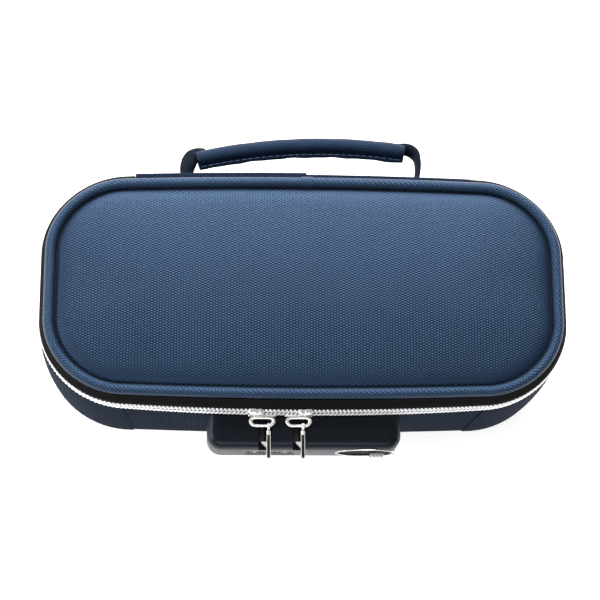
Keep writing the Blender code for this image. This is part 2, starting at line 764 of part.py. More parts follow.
def make_latch_spring(bar_left, y, z):
    """Compression spring that keeps the latch bar to the right."""
    turns = 6
    per_turn = 8
    free_length = 8.4 * MM
    coil_radius = 0.85 * MM
    data = bpy.data.curves.new("latch_spring", "CURVE")
    data.dimensions = "3D"
    data.bevel_depth = 0.22 * MM
    data.bevel_resolution = 1
    data.use_fill_caps = True
    spline = data.splines.new("POLY")
    count = turns * per_turn + 1
    spline.points.add(count - 1)
    for index, point in enumerate(spline.points):
        angle = 2 * math.pi * index / per_turn
        x = bar_left - GAP - 0.3 * MM - free_length * index / (count - 1)
        point.co = (x, y + coil_radius * math.cos(angle), z + coil_radius * math.sin(angle), 1)
    as_mesh(bpy.data.objects.new("latch_spring", data), STEEL)


def make_back_plate(housing, walls):
    """Plate inside the bag and the four screws that clamp the wall between it and the lock."""
    plate_front = -(HALF_DEPTH + LINING_IN) + 2.2 * GAP
    plate_back = plate_front + 1.2 * MM
    foot = LOCK_FOOT + 1.5 * MM
    top = LOCK_TOP - 3 * MM
    half = SCREW_X + 4 * MM
    back_plate = box(
        "lock_back_plate", (-half, plate_front, foot), (half, plate_back, top), STEEL, 0.3 * MM
    )
    low_z = LOCK_FOOT + 4.4 * MM
    high_z = LOCK_TOP - 5.4 * MM
    places = [(-SCREW_X, low_z), (SCREW_X, low_z), (-SCREW_X, high_z), (SCREW_X, high_z)]
    shank_end = LOCK_BACK - 7 * MM
    for index, (x, z) in enumerate(places):
        head_back = plate_back + GAP
        screw = rod(
            f"lock_screw_{index + 1}",
            (0, 1, 0),
            (x, head_back, z),
            1.4 * MM,
            2.4 * MM,
            STEEL,
            far_radius=1.9 * MM,
            sides=14,
        )
        shank = rod(
            f"screw_shank_{index + 1}",
            (0, 1, 0),
            (x, shank_end, z),
            head_back - shank_end + 0.5 * MM,
            SCREW_RADIUS,
            sides=10,
        )
        boolean(screw, shank, "UNION")
        hole = rod(
            f"screw_hole_{index + 1}",
            (0, 1, 0),
            (x, shank_end - GAP, z),
            head_back - shank_end + GAP + 0.2 * MM,
            SCREW_RADIUS + GAP,
            sides=10,
        )
        for target in (housing, back_plate, *walls):
            boolean(target, hole)


# ---------------------------------------------------------------- handle


def grip_y(x):
    share = x / GRIP_HALF
    return HANDLE_Y + GRIP_OUT - GRIP_RISE * share * share + GRIP_TILT * share


def bezier(points, steps):
    first, second, third, fourth = (Vector(point) for point in points)
    made = []
    for index in range(steps + 1):
        t = index / steps
        u = 1 - t
        place_at = u**3 * first + 3 * u * u * t * second + 3 * u * t * t * third + t**3 * fourth
        made.append(tuple(place_at))
    return made


def oval(half_wide, half_tall, steps=14):
    angles = [2 * math.pi * i / steps for i in range(steps)]
    return [(half_wide * math.cos(a), half_tall * math.sin(a)) for a in angles]


def make_handle():
    xs = between(GRIP_HALF, -GRIP_HALF, 12)
    path = [(x, grip_y(x)) for x in xs]
    skin = sweep(
        "grip_cover", path, oval(GRIP_THICK / 2, GRIP_TALL / 2), NAVY, height=HANDLE_Z, capped=False
    )
    wrap = skin.modifiers.new("cloth_thickness", "SOLIDIFY")
    wrap.thickness = GRIP_CLOTH
    wrap.offset = -1
    inner = GRIP_CLOTH + GAP
    core_half = GRIP_HALF - 6 * MM
    core_path = [(x, grip_y(x)) for x in between(core_half, -core_half, 10)]
    core = oval(GRIP_THICK / 2 - inner, GRIP_TALL / 2 - inner)
    sweep("grip_core", core_path, core, FOAM, height=HANDLE_Z)
    strap = rectangle(-WEBBING_THICK / 2, WEBBING_THICK / 2, -WEBBING_TALL / 2, WEBBING_TALL / 2)
    for side in (-1, 1):
        name = "left" if side < 0 else "right"
        end_x = side * (core_half + GAP)
        slope = (grip_y(end_x + 1 * MM) - grip_y(end_x - 1 * MM)) / (2 * MM)
        away = side * 9 * MM
        root = (side * HANDLE_ANCHOR_X, HANDLE_Y)
        points = [
            root,
            (side * (HANDLE_ANCHOR_X + 1.4 * MM), HANDLE_Y + 8.5 * MM),
            (end_x + away, grip_y(end_x) + slope * away),
            (end_x, grip_y(end_x)),
        ]
        route = bezier(points, 9)
        if side > 0:
            route.reverse()
        sweep(f"handle_leg_{name}", route, strap, NAVY, height=HANDLE_Z)
        box(
            f"handle_patch_{name}",
            (side * HANDLE_ANCHOR_X - PATCH_WIDTH / 2, PATCH_FRONT, HANDLE_Z - PATCH_HEIGHT / 2),
            (
                side * HANDLE_ANCHOR_X + PATCH_WIDTH / 2,
                PATCH_FRONT + PATCH_THICK,
                HANDLE_Z + PATCH_HEIGHT / 2,
            ),
            NAVY,
            0.4 * MM,
        )


wall_pieces = make_walls()
make_base()
make_lid()
make_hinge_cloth()
make_zipper()
lock_housing, lock_room_top = make_lock_housing()
channel_fingers = make_sliders(lock_housing)
make_dials(lock_housing)
make_latch(lock_housing, channel_fingers, lock_room_top)
make_back_plate(lock_housing, wall_pieces)
make_handle()
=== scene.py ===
"""Looks of the cash deposit bag: cloths, zip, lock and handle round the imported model.

Metres, in the row frame: +Z up, the lock towards -Y and the handle towards +Y.
"""

import json
import math

import bmesh
import bpy
from mathutils import Matrix, Vector


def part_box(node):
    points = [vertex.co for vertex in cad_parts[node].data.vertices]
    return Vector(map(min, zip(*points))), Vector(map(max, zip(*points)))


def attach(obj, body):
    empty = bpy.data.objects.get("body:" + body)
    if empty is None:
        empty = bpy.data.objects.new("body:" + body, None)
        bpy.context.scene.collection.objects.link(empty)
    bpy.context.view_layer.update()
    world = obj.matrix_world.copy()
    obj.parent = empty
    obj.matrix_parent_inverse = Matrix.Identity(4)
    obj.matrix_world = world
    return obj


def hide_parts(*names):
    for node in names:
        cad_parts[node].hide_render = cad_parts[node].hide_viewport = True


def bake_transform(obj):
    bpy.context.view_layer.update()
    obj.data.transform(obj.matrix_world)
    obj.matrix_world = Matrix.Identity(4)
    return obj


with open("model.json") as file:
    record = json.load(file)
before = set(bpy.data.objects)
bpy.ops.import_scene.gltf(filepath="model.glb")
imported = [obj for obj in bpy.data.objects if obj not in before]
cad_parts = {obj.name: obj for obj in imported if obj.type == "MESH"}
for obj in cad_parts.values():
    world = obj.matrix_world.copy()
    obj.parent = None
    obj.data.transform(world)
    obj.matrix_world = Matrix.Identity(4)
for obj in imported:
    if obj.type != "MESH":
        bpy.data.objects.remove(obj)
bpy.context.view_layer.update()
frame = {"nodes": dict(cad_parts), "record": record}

# ---------------------------------------------------------------- base
# The bag stands on a flat panel of navy coated polyester over a grey polypropylene board,
# with a charcoal taffeta lining laid over the board inside.

MM = 0.001


def srgb(code):
    """A colour written as sRGB hex, in the linear numbers that a shader takes."""
    shares = [int(code[place:place + 2], 16) / 255 for place in (0, 2, 4)]
    linear = [share / 12.92 if share <= 0.04045 else ((share + 0.055) / 1.055) ** 2.4 for share in shares]
    return (*linear, 1.0)


def new_material(name, colour, finish):
    """A material whose shader starts with one colour and the finish's socket values."""
    made = bpy.data.materials.new(name)
    made.use_nodes = True
    shader = made.node_tree.nodes["Principled BSDF"]
    shader.inputs["Base Color"].default_value = srgb(colour)
    for socket, value in finish.items():
        shader.inputs[socket].default_value = value
    return made


def add_node(made, kind, inputs=None, **settings):
    """One node with its settings; an input is a value, or the output that feeds it."""
    tree = made.node_tree
    node = tree.nodes.new("ShaderNode" + kind)
    for name, value in settings.items():
        setattr(node, name, value)
    for name, value in (inputs or {}).items():
        if isinstance(value, bpy.types.NodeSocket):
            tree.links.new(value, node.inputs[name])
        else:
            node.inputs[name].default_value = value
    return node


def surface(made, colour=None, roughness=None, height=None, depth=0.0):
    """Feed a material's shader: a colour, a roughness, and a height that is depth metres tall."""
    shader = made.node_tree.nodes["Principled BSDF"]
    feeds = {"Base Color": colour, "Roughness": roughness}
    if height:
        bump = add_node(made, "Bump", {"Height": height, "Distance": depth, "Strength": 1.0})
        feeds["Normal"] = bump.outputs[0]
    for socket, output in feeds.items():
        if output:
            made.node_tree.links.new(output, shader.inputs[socket])


def grained(name, colour, finish, scale, detail, depth, gloss=None):
    """A material with fine noise in its surface; gloss is the roughness at the noise's two ends."""
    made = new_material(name, colour, finish)
    place = add_node(made, "TexCoord").outputs["Object"]
    noise = add_node(made, "TexNoise", {"Vector": place, "Scale": scale, "Detail": detail}).outputs[0]
    rough = None
    if gloss:
        spread = {"Value": noise, "To Min": gloss[0], "To Max": gloss[1]}
        rough = add_node(made, "MapRange", spread).outputs[0]
    surface(made, roughness=rough, height=noise, depth=depth)
    return made


def dress(names, made):
    """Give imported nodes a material."""
    for name in names:
        for holder in frame["nodes"][name].material_slots:
            holder.material = made


def waves(made, place, across, along, turn=0.0):
    """Height from -1 to 1 of floats staggered in cells of across by along metres; along 0 gives ribs."""
    full = 2 * math.pi
    size = (across / full, along / full if along else 1.0, 1.0)
    laid = add_node(
        made, "Mapping", {"Vector": place, "Rotation": (0, 0, turn), "Scale": size}, vector_type="TEXTURE"
    )
    parts = add_node(made, "SeparateXYZ", {0: laid.outputs[0]})
    first = add_node(made, "Math", {0: parts.outputs[0]}, operation="COSINE")
    if not along:
        return first.outputs[0]
    second = add_node(made, "Math", {0: parts.outputs[1]}, operation="COSINE")
    both = {0: first.outputs[0], 1: second.outputs[0]}
    return add_node(made, "Math", both, operation="MULTIPLY").outputs[0]


def cloth(name, light, gap_shade, finish, cell, turn=0.0, depth=0.12 * MM, on="UV", second=None):
    """Woven cloth: raised floats in the light colour, painted shade in the gap_shade colour in the gaps
    between them, with thread noise and soft random patches of tone.

    on is UV, where a piece's map is metres along and across its strip, or Object.
    """
    made = new_material(name, light, finish)
    place = add_node(made, "TexCoord").outputs[on]
    floats = waves(made, place, *cell, turn)
    if second:
        crossing = waves(made, place, *second)
        floats = add_node(
            made, "Math", {0: crossing, 1: 0.45, 2: floats}, operation="MULTIPLY_ADD"
        ).outputs[0]
    fibres = add_node(made, "TexNoise", {"Vector": place, "Scale": 2600.0, "Detail": 2.0})
    patches = add_node(made, "TexNoise", {"Vector": place, "Scale": 34.0, "Detail": 3.0})
    raised = add_node(
        made, "MapRange", {"Value": floats, "From Min": -0.5, "From Max": 0.95, "To Min": 0.0, "To Max": 1.0}
    ).outputs[0]
    uneven = add_node(
        made, "Math", {0: fibres.outputs[0], 1: 0.35, 2: raised}, operation="MULTIPLY_ADD"
    ).outputs[0]
    # Painted shade: the colour runs from gap_shade in the gaps to light on the floats, following the same
    # height as the bump.
    shade = add_node(made, "Mix", {0: uneven, 6: srgb(gap_shade), 7: srgb(light)}, data_type="RGBA")
    spread = {"From Min": 0.3, "From Max": 0.7, "To Min": 0.9, "To Max": 1.1}
    worn = add_node(made, "MapRange", {"Value": patches.outputs[0], **spread})
    worn_shade = {0: 1.0, 6: shade.outputs[2], 7: worn.outputs[0]}
    tint = add_node(made, "Mix", worn_shade, data_type="RGBA", blend_type="MULTIPLY")
    surface(made, colour=tint.outputs[2], height=uneven, depth=depth)
    return made


# Polyester oxford with a thin polyurethane coating: a low plastic gloss on each float.
# The floats stand 2.8 mm apart across the bag and 1.26 mm along it, in staggered rows.
COATED = {
    "Roughness": 0.4,
    "IOR": 1.5,
    "Specular IOR Level": 0.55,
    "Specular Tint": srgb("9cc6ff"),
}
OXFORD_CELL = (2.77 * MM, 1.26 * MM)
# Its second colour is painted shade in the gaps between the floats.
base_cloth_material = cloth("coated_oxford_base", "283a4e", "0c141e", COATED, OXFORD_CELL, on="Object")

# Extruded polypropylene board: waxy grey with a faint pebble from the rollers.
board_material = grained(
    "extruded_polypropylene", "8a8c8e", {"Roughness": 0.5, "IOR": 1.49}, 700.0, 3.0, 0.04 * MM
)

# Nylon taffeta: a fine plain weave, 0.9 mm as drawn here, with a slight silky sheen and painted shade between
# the threads.
TAFFETA = {"Roughness": 0.6, "IOR": 1.5, "Sheen Weight": 0.25, "Sheen Roughness": 0.35}
TAFFETA_CELL = (0.9 * MM, 0.9 * MM)
taffeta_flat = cloth(
    "charcoal_taffeta_flat", "4a4c50", "303236", TAFFETA, TAFFETA_CELL, depth=0.05 * MM, on="Object"
)

dress(["base_cloth"], base_cloth_material)
dress(["base_board"], board_material)
dress(["base_lining"], taffeta_flat)

# ---------------------------------------------------------------- walls
# One ribbed polyester strip at the front, one round each end and a plain one at the back, over
# closed-cell foam. The end strips lap over the front one in a folded, slightly curved seam.

piping_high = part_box("lid_piping")[1]
HALF_LENGTH = piping_high.x
HALF_DEPTH = piping_high.y
CORNER = 37 * MM
END_BOW = 0.4 * MM
SIDE_BOW = 3.3 * MM
PLAN_STEP = 0.25 * MM


def lid_plan():
    """The lid's outer edge as even points, anticlockwise from the middle of the back, and its length."""
    straight_x = HALF_LENGTH - CORNER
    straight_y = HALF_DEPTH - CORNER
    raw = [Vector((0, HALF_DEPTH))]
    for x_side, y_side, start in ((-1, 1, 90), (-1, -1, 180), (1, -1, 270), (1, 1, 0)):
        for step in range(121):
            angle = math.radians(start + 90 * step / 120)
            turn = Vector((math.cos(angle), math.sin(angle)))
            raw.append(Vector((x_side * straight_x, y_side * straight_y)) + CORNER * turn)
    raw.append(Vector((0, HALF_DEPTH)))
    fine = []
    for first, second in zip(raw, raw[1:]):
        pieces = max(1, round((second - first).length / PLAN_STEP))
        fine += [first.lerp(second, step / pieces) for step in range(pieces)]
    bowed = []
    for x, y in fine:
        bow_x = END_BOW * (y / HALF_DEPTH) ** 2 * x / HALF_LENGTH
        bow_y = SIDE_BOW * (x / HALF_LENGTH) ** 2 * y / HALF_DEPTH
        bowed.append(Vector((x - bow_x, y - bow_y)))
    lengths = [0.0]
    for first, second in zip(bowed, bowed[1:] + bowed[:1]):
        lengths.append(lengths[-1] + (second - first).length)
    total = lengths[-1]
    count = round(total / PLAN_STEP)
    even = []
    place = 0
    for step in range(count):
        length = total * step / count
        while lengths[place + 1] < length:
            place += 1
        share = (length - lengths[place]) / (lengths[place + 1] - lengths[place])
        even.append(bowed[place].lerp(bowed[(place + 1) % len(bowed)], share))
    return even, total


PLAN, AROUND = lid_plan()


def outward(length):
    """The level direction away from the bag at a length round the plan."""
    middle = round(length / AROUND * len(PLAN))
    along = PLAN[(middle + 8) % len(PLAN)] - PLAN[(middle - 8) % len(PLAN)]
    return Vector((along.y, -along.x)).normalized()


def on_plan(length, out, height, tuck=0.0):
    """The point at a length round the plan, out from it, at a height; the ends draw in by tuck."""
    place = length / AROUND * len(PLAN)
    whole = math.floor(place)
    flat = PLAN[whole % len(PLAN)].lerp(PLAN[(whole + 1) % len(PLAN)], place - whole)
    flat = flat + (out - tuck * (flat.x / HALF_LENGTH) ** 2) * outward(length)
    return Vector((flat.x, flat.y, height))


def skin(rows, along=None, round_rows=True, round_all=False):
    """Mesh over rows of points, with end caps; its map is metres along the rows and across each."""
    count = len(rows[0])
    spans = len(rows) if round_all else len(rows) - 1
    columns = count if round_rows else count - 1
    if not along:
        along = [0.0]
        for step in range(spans):
            along.append(along[-1] + (rows[(step + 1) % len(rows)][0] - rows[step][0]).length)
    across = [0.0]
    for column in range(columns):
        across.append(across[-1] + (rows[0][(column + 1) % count] - rows[0][column]).length)
    faces = []
    spots = []
    for row in range(spans):
        for column in range(columns):
            next_row = (row + 1) % len(rows)
            next_column = (column + 1) % count
            faces.append(
                (
                    row * count + column,
                    next_row * count + column,
                    next_row * count + next_column,
                    row * count + next_column,
                )
            )
            spots += [
                (along[row], across[column]),
                (along[row + 1], across[column]),
                (along[row + 1], across[column + 1]),
                (along[row], across[column + 1]),
            ]
    if round_rows and not round_all:
        for row in (0, len(rows) - 1):
            faces.append(tuple(range(row * count, (row + 1) * count)))
            spots += [(along[row] + point / 1000, point / 1000) for point in across[:count]]
    mesh = bpy.data.meshes.new("skin")
    mesh.from_pydata([point for row in rows for point in row], [], faces)
    layer = mesh.uv_layers.new(name="strip")
    for corner, spot in zip(layer.data, spots):
        corner.uv = spot
    shape = bmesh.new()
    shape.from_mesh(mesh)
    bmesh.ops.recalc_face_normals(shape, faces=shape.faces)
    shape.to_mesh(mesh)
    shape.free()
    return mesh


def show(name, mesh, made, sharp=50):
    """A smooth-shaded piece from a mesh, with its material."""
    mesh.name = name
    piece = bpy.data.objects.new(name, mesh)
    bpy.context.scene.collection.objects.link(piece)
    mesh.materials.clear()
    mesh.materials.append(made)
    mesh.shade_smooth()
    mesh.set_sharp_from_angle(angle=math.radians(sharp))
    return piece


def band(start, end, section, step=1.5 * MM, lean=None, tuck=None):
    """A closed section of (out, height) points carried along the plan.

    lean(share, height) shifts a point along the plan, and tuck(height) draws the bag's ends in.
    """
    spans = max(2, round((end - start) / step))
    rows = []
    along = []
    for index in range(spans + 1):
        share = index / spans
        length = start + (end - start) * share
        along.append(length)
        row = []
        for out, z in section:
            at = length + (lean(share, z) if lean else 0.0)
            row.append(on_plan(at, out, z, tuck(z) if tuck else 0.0))
        rows.append(row)
    return skin(rows, along)


def ring(section, step=1.5 * MM, tuck=None):
    """A closed section of (out, height) points carried the whole way round the plan."""
    spans = round(AROUND / step)
    lengths = [AROUND * index / spans for index in range(spans + 1)]
    rows = []
    for length in lengths[:-1]:
        rows.append([on_plan(length, out, z, tuck(z) if tuck else 0.0) for out, z in section])
    return skin(rows, lengths, round_all=True)


def arc(centre, radius, start, end, steps):
    """Points (x, y) of an arc, angles in degrees, both ends included."""
    angles = [math.radians(start + (end - start) * step / steps) for step in range(steps + 1)]
    return [(centre[0] + radius * math.cos(a), centre[1] + radius * math.sin(a)) for a in angles]


WALL_TUCK = 1.2 * MM
WALL_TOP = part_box("wall_front_cloth")[1].z
WALL_OUT = -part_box("wall_front_cloth")[0].y - HALF_DEPTH
WALL_CLOTH = 1.2 * MM
FOOT_ROUND = 4 * MM
BELLY = 0.7 * MM
SEAM_X = 86.2 * MM
SEAM_CURVE = 3.3 * MM
SEAM_PROUD = 0.45 * MM
HINGE_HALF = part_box("hinge_cloth")[1].x
RIB_PITCH = 1.33 * MM


def wall_section(proud, top):
    """A wall cloth: a rounded foot, a slight belly, and a top edge turned in."""
    outside = arc((WALL_OUT - FOOT_ROUND + proud, FOOT_ROUND), FOOT_ROUND, -90, 0, 6)
    for share in (0.2, 0.35, 0.5, 0.65, 0.8, 0.92):
        belly = BELLY * math.sin(math.pi * share) ** 0.8
        outside.append((WALL_OUT + proud + belly, FOOT_ROUND + (top - FOOT_ROUND) * share))
    outside.append((WALL_OUT + proud - 0.1 * MM, top - 0.5 * MM))
    outside.append((WALL_OUT + proud - 0.5 * MM, top))
    inside = [(out - WALL_CLOTH, max(z, WALL_CLOTH + 0.01 * MM)) for out, z in outside[-2:5:-1]]
    return outside + inside + [(WALL_OUT - FOOT_ROUND + proud, WALL_CLOTH)]


def wall_tuck(height):
    """The wall's ends draw in towards the zip, most at the top."""
    return WALL_TUCK * (height / WALL_TOP) ** 3


def seam_lean(share, height, side):
    """How far the front seam's cloth edge leans along the wall, most at the foot."""
    near = min(1.0, max(0.0, 1 - abs(share - (1 if side < 0 else 0)) * 6))
    return -side * SEAM_CURVE * math.sin(math.pi / 2 * (1 - height / WALL_TOP)) * near


# Ribbed polyester: warp cords 1.33 mm apart, painted lighter where they stand up, with fine weft between them
# in painted shade.
RIBBED = {"Roughness": 0.75, "IOR": 1.5, "Specular IOR Level": 0.05, "Specular Tint": srgb("9cc6ff")}
ribbed_material = cloth(
    "ribbed_polyester",
    "0f1f35",
    "010306",
    RIBBED,
    (RIB_PITCH, 0),
    depth=0.16 * MM,
    second=(0.66 * MM, 0.7 * MM),
)
# Closed-cell polyethylene foam: matt black with small burst cells.
foam_material = new_material("closed_cell_foam", "1c1c1d", {"Roughness": 0.9, "IOR": 1.5})
foam_place = add_node(foam_material, "TexCoord").outputs["Object"]
foam_cells = add_node(foam_material, "TexVoronoi", {"Vector": foam_place, "Scale": 900.0})
surface(foam_material, height=foam_cells.outputs["Distance"], depth=0.2 * MM)

front_start = AROUND / 2 - SEAM_X
front_end = AROUND / 2 + SEAM_X
back_start = HINGE_HALF
back_end = AROUND - HINGE_HALF
side_section = wall_section(SEAM_PROUD, WALL_TOP)
wall_lap = 3 * MM
front_wall = show(
    "front_wall_cloth",
    band(front_start - wall_lap, front_end + wall_lap, wall_section(0.0, WALL_TOP), tuck=wall_tuck),
    ribbed_material,
)
left_wall = show(
    "left_wall_cloth",
    band(
        back_start, front_start, side_section, lean=lambda share, z: seam_lean(share, z, -1), tuck=wall_tuck
    ),
    ribbed_material,
)
right_wall = show(
    "right_wall_cloth",
    band(front_end, back_end, side_section, lean=lambda share, z: seam_lean(share, z, 1), tuck=wall_tuck),
    ribbed_material,
)
BACK_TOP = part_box("wall_back_cloth")[1].z - 0.6 * MM
back_wall = show(
    "back_wall_cloth",
    band(-back_start - wall_lap, back_start + wall_lap, wall_section(0.0, BACK_TOP), tuck=wall_tuck),
    ribbed_material,
)
for wall, node, length in (
    (front_wall, "wall_front_cloth", front_end - front_start + 2 * wall_lap),
    (left_wall, "wall_left_cloth", front_start - back_start),
    (right_wall, "wall_right_cloth", back_end - front_end),
    (back_wall, "wall_back_cloth", 2 * (back_start + wall_lap)),
):
    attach(wall, "base")
    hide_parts(node)
dress(["wall_foam"], foam_material)

# ---------------------------------------------------------------- wall lining
# Charcoal taffeta glued to the foam's inner face, turned over its top edge and sewn to the zip tape.

# Its darker colour is painted shade between the threads.
taffeta_material = cloth("charcoal_taffeta", "4a4c50", "303236", TAFFETA, TAFFETA_CELL, depth=0.05 * MM)
lining_low, lining_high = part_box("wall_lining")
LINING_IN = lining_high.y - HALF_DEPTH - 0.6 * MM
LINING_OUT = LINING_IN + 0.6 * MM
TURN_OUT = WALL_OUT - 1.6 * MM
TURN_TOP = WALL_TOP + 0.1 * MM
lining_section = [
    (LINING_IN, lining_low.z),
    (LINING_IN, lining_high.z - 0.4 * MM),
    (LINING_IN + 0.5 * MM, TURN_TOP - 0.1 * MM),
    (LINING_IN + 1.2 * MM, TURN_TOP),
    (TURN_OUT, TURN_TOP),
    (TURN_OUT, TURN_TOP - 0.3 * MM),
    (LINING_OUT + 0.6 * MM, TURN_TOP - 0.3 * MM),
    (LINING_OUT, lining_high.z - 0.5 * MM),
    (LINING_OUT, lining_low.z),
]
inner_wall = show("wall_lining_cloth", ring(lining_section, tuck=wall_tuck), taffeta_material)
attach(inner_wall, "base")
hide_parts("wall_lining")

# ---------------------------------------------------------------- zip tapes
# Black woven polyester tape, one along the walls' top edge and one under the lid's piping.
# The upper one shows as a broad dark band between the teeth and the piping.

# Zip tape: a tight herringbone twill, 1.1 mm as drawn, that looks matt black with faint grey cords and
# painted shade between them.
TAPE_FINISH = {"Roughness": 0.85, "IOR": 1.5, "Specular IOR Level": 0.15}
tape_material = cloth(
    "woven_zip_tape", "0a0a0c", "020203", TAPE_FINISH, (1.1 * MM, 1.6 * MM), turn=0.6, depth=0.1 * MM
)
upper_teeth_low, upper_teeth_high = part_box("upper_teeth")
lower_teeth_low, lower_teeth_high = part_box("lower_teeth")
ZIP_Z = (upper_teeth_low.z + lower_teeth_high.z) / 2
TEETH_OUT = 3.3 * MM
TEETH_DEPTH = 1.9 * MM
ZIP_START = HINGE_HALF + 0.4 * MM
ZIP_END = AROUND - ZIP_START
PIPING = 2.5 * MM
PIPING_Z = piping_high.z - PIPING
TAPE_TUCK = 1.8 * MM
UPPER_TUCK = 2.4 * MM
LOWER_TUCK = 3.2 * MM
upper_tape_section = [
    (3.4 * MM, ZIP_Z + 2.3 * MM),
    (3.9 * MM, ZIP_Z + 2.5 * MM),
    (4.1 * MM, ZIP_Z + 3.2 * MM),
    (3.7 * MM, ZIP_Z + 4.4 * MM),
    (2.7 * MM, ZIP_Z + 5.6 * MM),
    (1.2 * MM, ZIP_Z + 6.8 * MM),
    (0.3 * MM, PIPING_Z - 1.2 * MM),
    (-0.6 * MM, PIPING_Z - 1.8 * MM),
    (0.4 * MM, ZIP_Z + 6.4 * MM),
    (2.0 * MM, ZIP_Z + 5.0 * MM),
    (2.8 * MM, ZIP_Z + 3.6 * MM),
    (3.0 * MM, ZIP_Z + 2.7 * MM),
]
upper_tape = show(
    "upper_zip_tape",
    band(
        ZIP_START,
        ZIP_END,
        upper_tape_section,
        tuck=lambda z: TAPE_TUCK * min(1.0, (PIPING_Z - z) / (6 * MM)),
    ),
    tape_material,
)
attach(upper_tape, "lid")
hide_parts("upper_tape")
TAPE_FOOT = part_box("lower_tape")[0].z
lower_tape_section = [
    (3.3 * MM, TAPE_FOOT),
    (3.3 * MM, lower_teeth_high.z),
    (2.4 * MM, lower_teeth_high.z),
    (2.2 * MM, TAPE_FOOT),
]
lower_tape = show(
    "lower_zip_tape",
    band(ZIP_START, ZIP_END, lower_tape_section, tuck=lambda z: LOWER_TUCK),
    tape_material,
)
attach(lower_tape, "base")
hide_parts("lower_tape")

# ---------------------------------------------------------------- zip teeth
# A number 8 coil: nylon monofilament wound in slanting loops and vacuum-plated silver.
# The loops of the two rows lean towards each other and meet in a zigzag.

COIL_PITCH = 1.92 * MM
COIL_WIRE = 0.56 * MM


def tube_rows(points, radii, sides=8, up=(0, 0, 1)):
    """Rings of points round a line, one radius to each point; the first one faces along up."""
    rows = []
    for index, point in enumerate(points):
        before = points[max(index - 1, 0)]
        after = points[min(index + 1, len(points) - 1)]
        tangent = (after - before).normalized()
        side = tangent.cross(Vector(up)).normalized()
        top = side.cross(tangent)
        row = []
        for step in range(sides):
            angle = 2 * math.pi * step / sides
            row.append(point + radii[index] * (math.cos(angle) * side + math.sin(angle) * top))
        rows.append(row)
    return rows


def coil_row(lowest, highest, out, rising, shift, tuck):
    """One row of loops. Each is a bent stroke from the tape over the front face to the meeting line."""
    meet, root = (lowest, highest) if rising > 0 else (highest, lowest)
    tall = highest - lowest
    face = out + TEETH_DEPTH - COIL_WIRE
    line = [
        Vector((-0.95 * MM, out + 0.3 * MM, root - rising * 0.3 * MM)),
        Vector((-0.8 * MM, face - 0.25 * MM, root - rising * 0.5 * MM)),
        Vector((-0.35 * MM, face, root - rising * 0.4 * tall)),
        Vector((0.25 * MM, face, root - rising * 0.68 * tall)),
        Vector((0.75 * MM, face - 0.2 * MM, meet + rising * 0.35 * MM)),
        Vector((0.85 * MM, out + 0.5 * MM, meet + rising * 0.3 * MM)),
    ]
    radii = [0.5 * MM, COIL_WIRE, COIL_WIRE, COIL_WIRE, COIL_WIRE, 0.4 * MM]
    stroke = tube_rows(line, radii, sides=7, up=(1, 0, 0))
    count = round((ZIP_END - ZIP_START) / COIL_PITCH)
    pitch = (ZIP_END - ZIP_START) / count
    shape = bmesh.new()
    for tooth in range(count):
        middle = ZIP_START + pitch * (tooth + 0.5 + shift)
        rings = [
            [shape.verts.new(on_plan(middle + along, away, z, tuck)) for along, away, z in loop]
            for loop in stroke
        ]
        for first, second in zip(rings, rings[1:]):
            for place in range(len(first)):
                after = (place + 1) % len(first)
                shape.faces.new((first[place], first[after], second[after], second[place]))
        shape.faces.new(rings[0])
        shape.faces.new(rings[-1])
    bmesh.ops.recalc_face_normals(shape, faces=shape.faces)
    mesh = bpy.data.meshes.new("coil")
    shape.to_mesh(mesh)
    shape.free()
    return mesh


# Vacuum-plated nylon: a thin bright metal film over smooth plastic, slightly orange-peeled.
coil_material = grained(
    "silver_plated_nylon", "fbfbfd", {"Metallic": 0.2, "Roughness": 0.28}, 1500.0, 2.0, 0.03 * MM, (0.2, 0.34)
)
upper_coil = show(
    "upper_zip_coil",
    coil_row(upper_teeth_low.z, upper_teeth_high.z, TEETH_OUT, 1, 0.0, UPPER_TUCK),
    coil_material,
)
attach(upper_coil, "lid")
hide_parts("upper_teeth")
lower_coil = show(
    "lower_zip_coil",
    coil_row(lower_teeth_low.z, lower_teeth_high.z, TEETH_OUT + 0.8 * MM, -1, 0.5, LOWER_TUCK),
    coil_material,
)
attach(lower_coil, "base")
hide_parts("lower_teeth")

# ---------------------------------------------------------------- lid
# A foam board between the outer cloth and a taffeta lining. The cloth is stretched over the board,
# crowned a little in the middle, and dips at its edge to the seam with the piping.

COVER_EDGE = -5.1 * MM
COVER_DIP = 71.6 * MM
COVER_SHOULDER = 2.5 * MM
COVER_CROWN = 3.4 * MM
COVER_CLOTH = 0.8 * MM


def crowned(rim, half_ridge, height, shares):
    """Rows from a rim of (x, y) points in to a ridge line along X; height gives z at (inset, share)."""
    rows = []
    for share in shares:
        row = []
        for x, y in rim:
            ridge = Vector((max(-half_ridge, min(half_ridge, x * 0.92)), 0))
            flat = Vector((x, y)).lerp(ridge, share)
            row.append(Vector((flat.x, flat.y, height((Vector((x, y)) - flat).length, share))))
        rows.append(row)
    return rows


def cover_height(inset, share):
    shoulder = COVER_SHOULDER * (1 - math.exp(-inset / (2.2 * MM)))
    return COVER_DIP + shoulder + COVER_CROWN * (1 - (1 - share) ** 2)


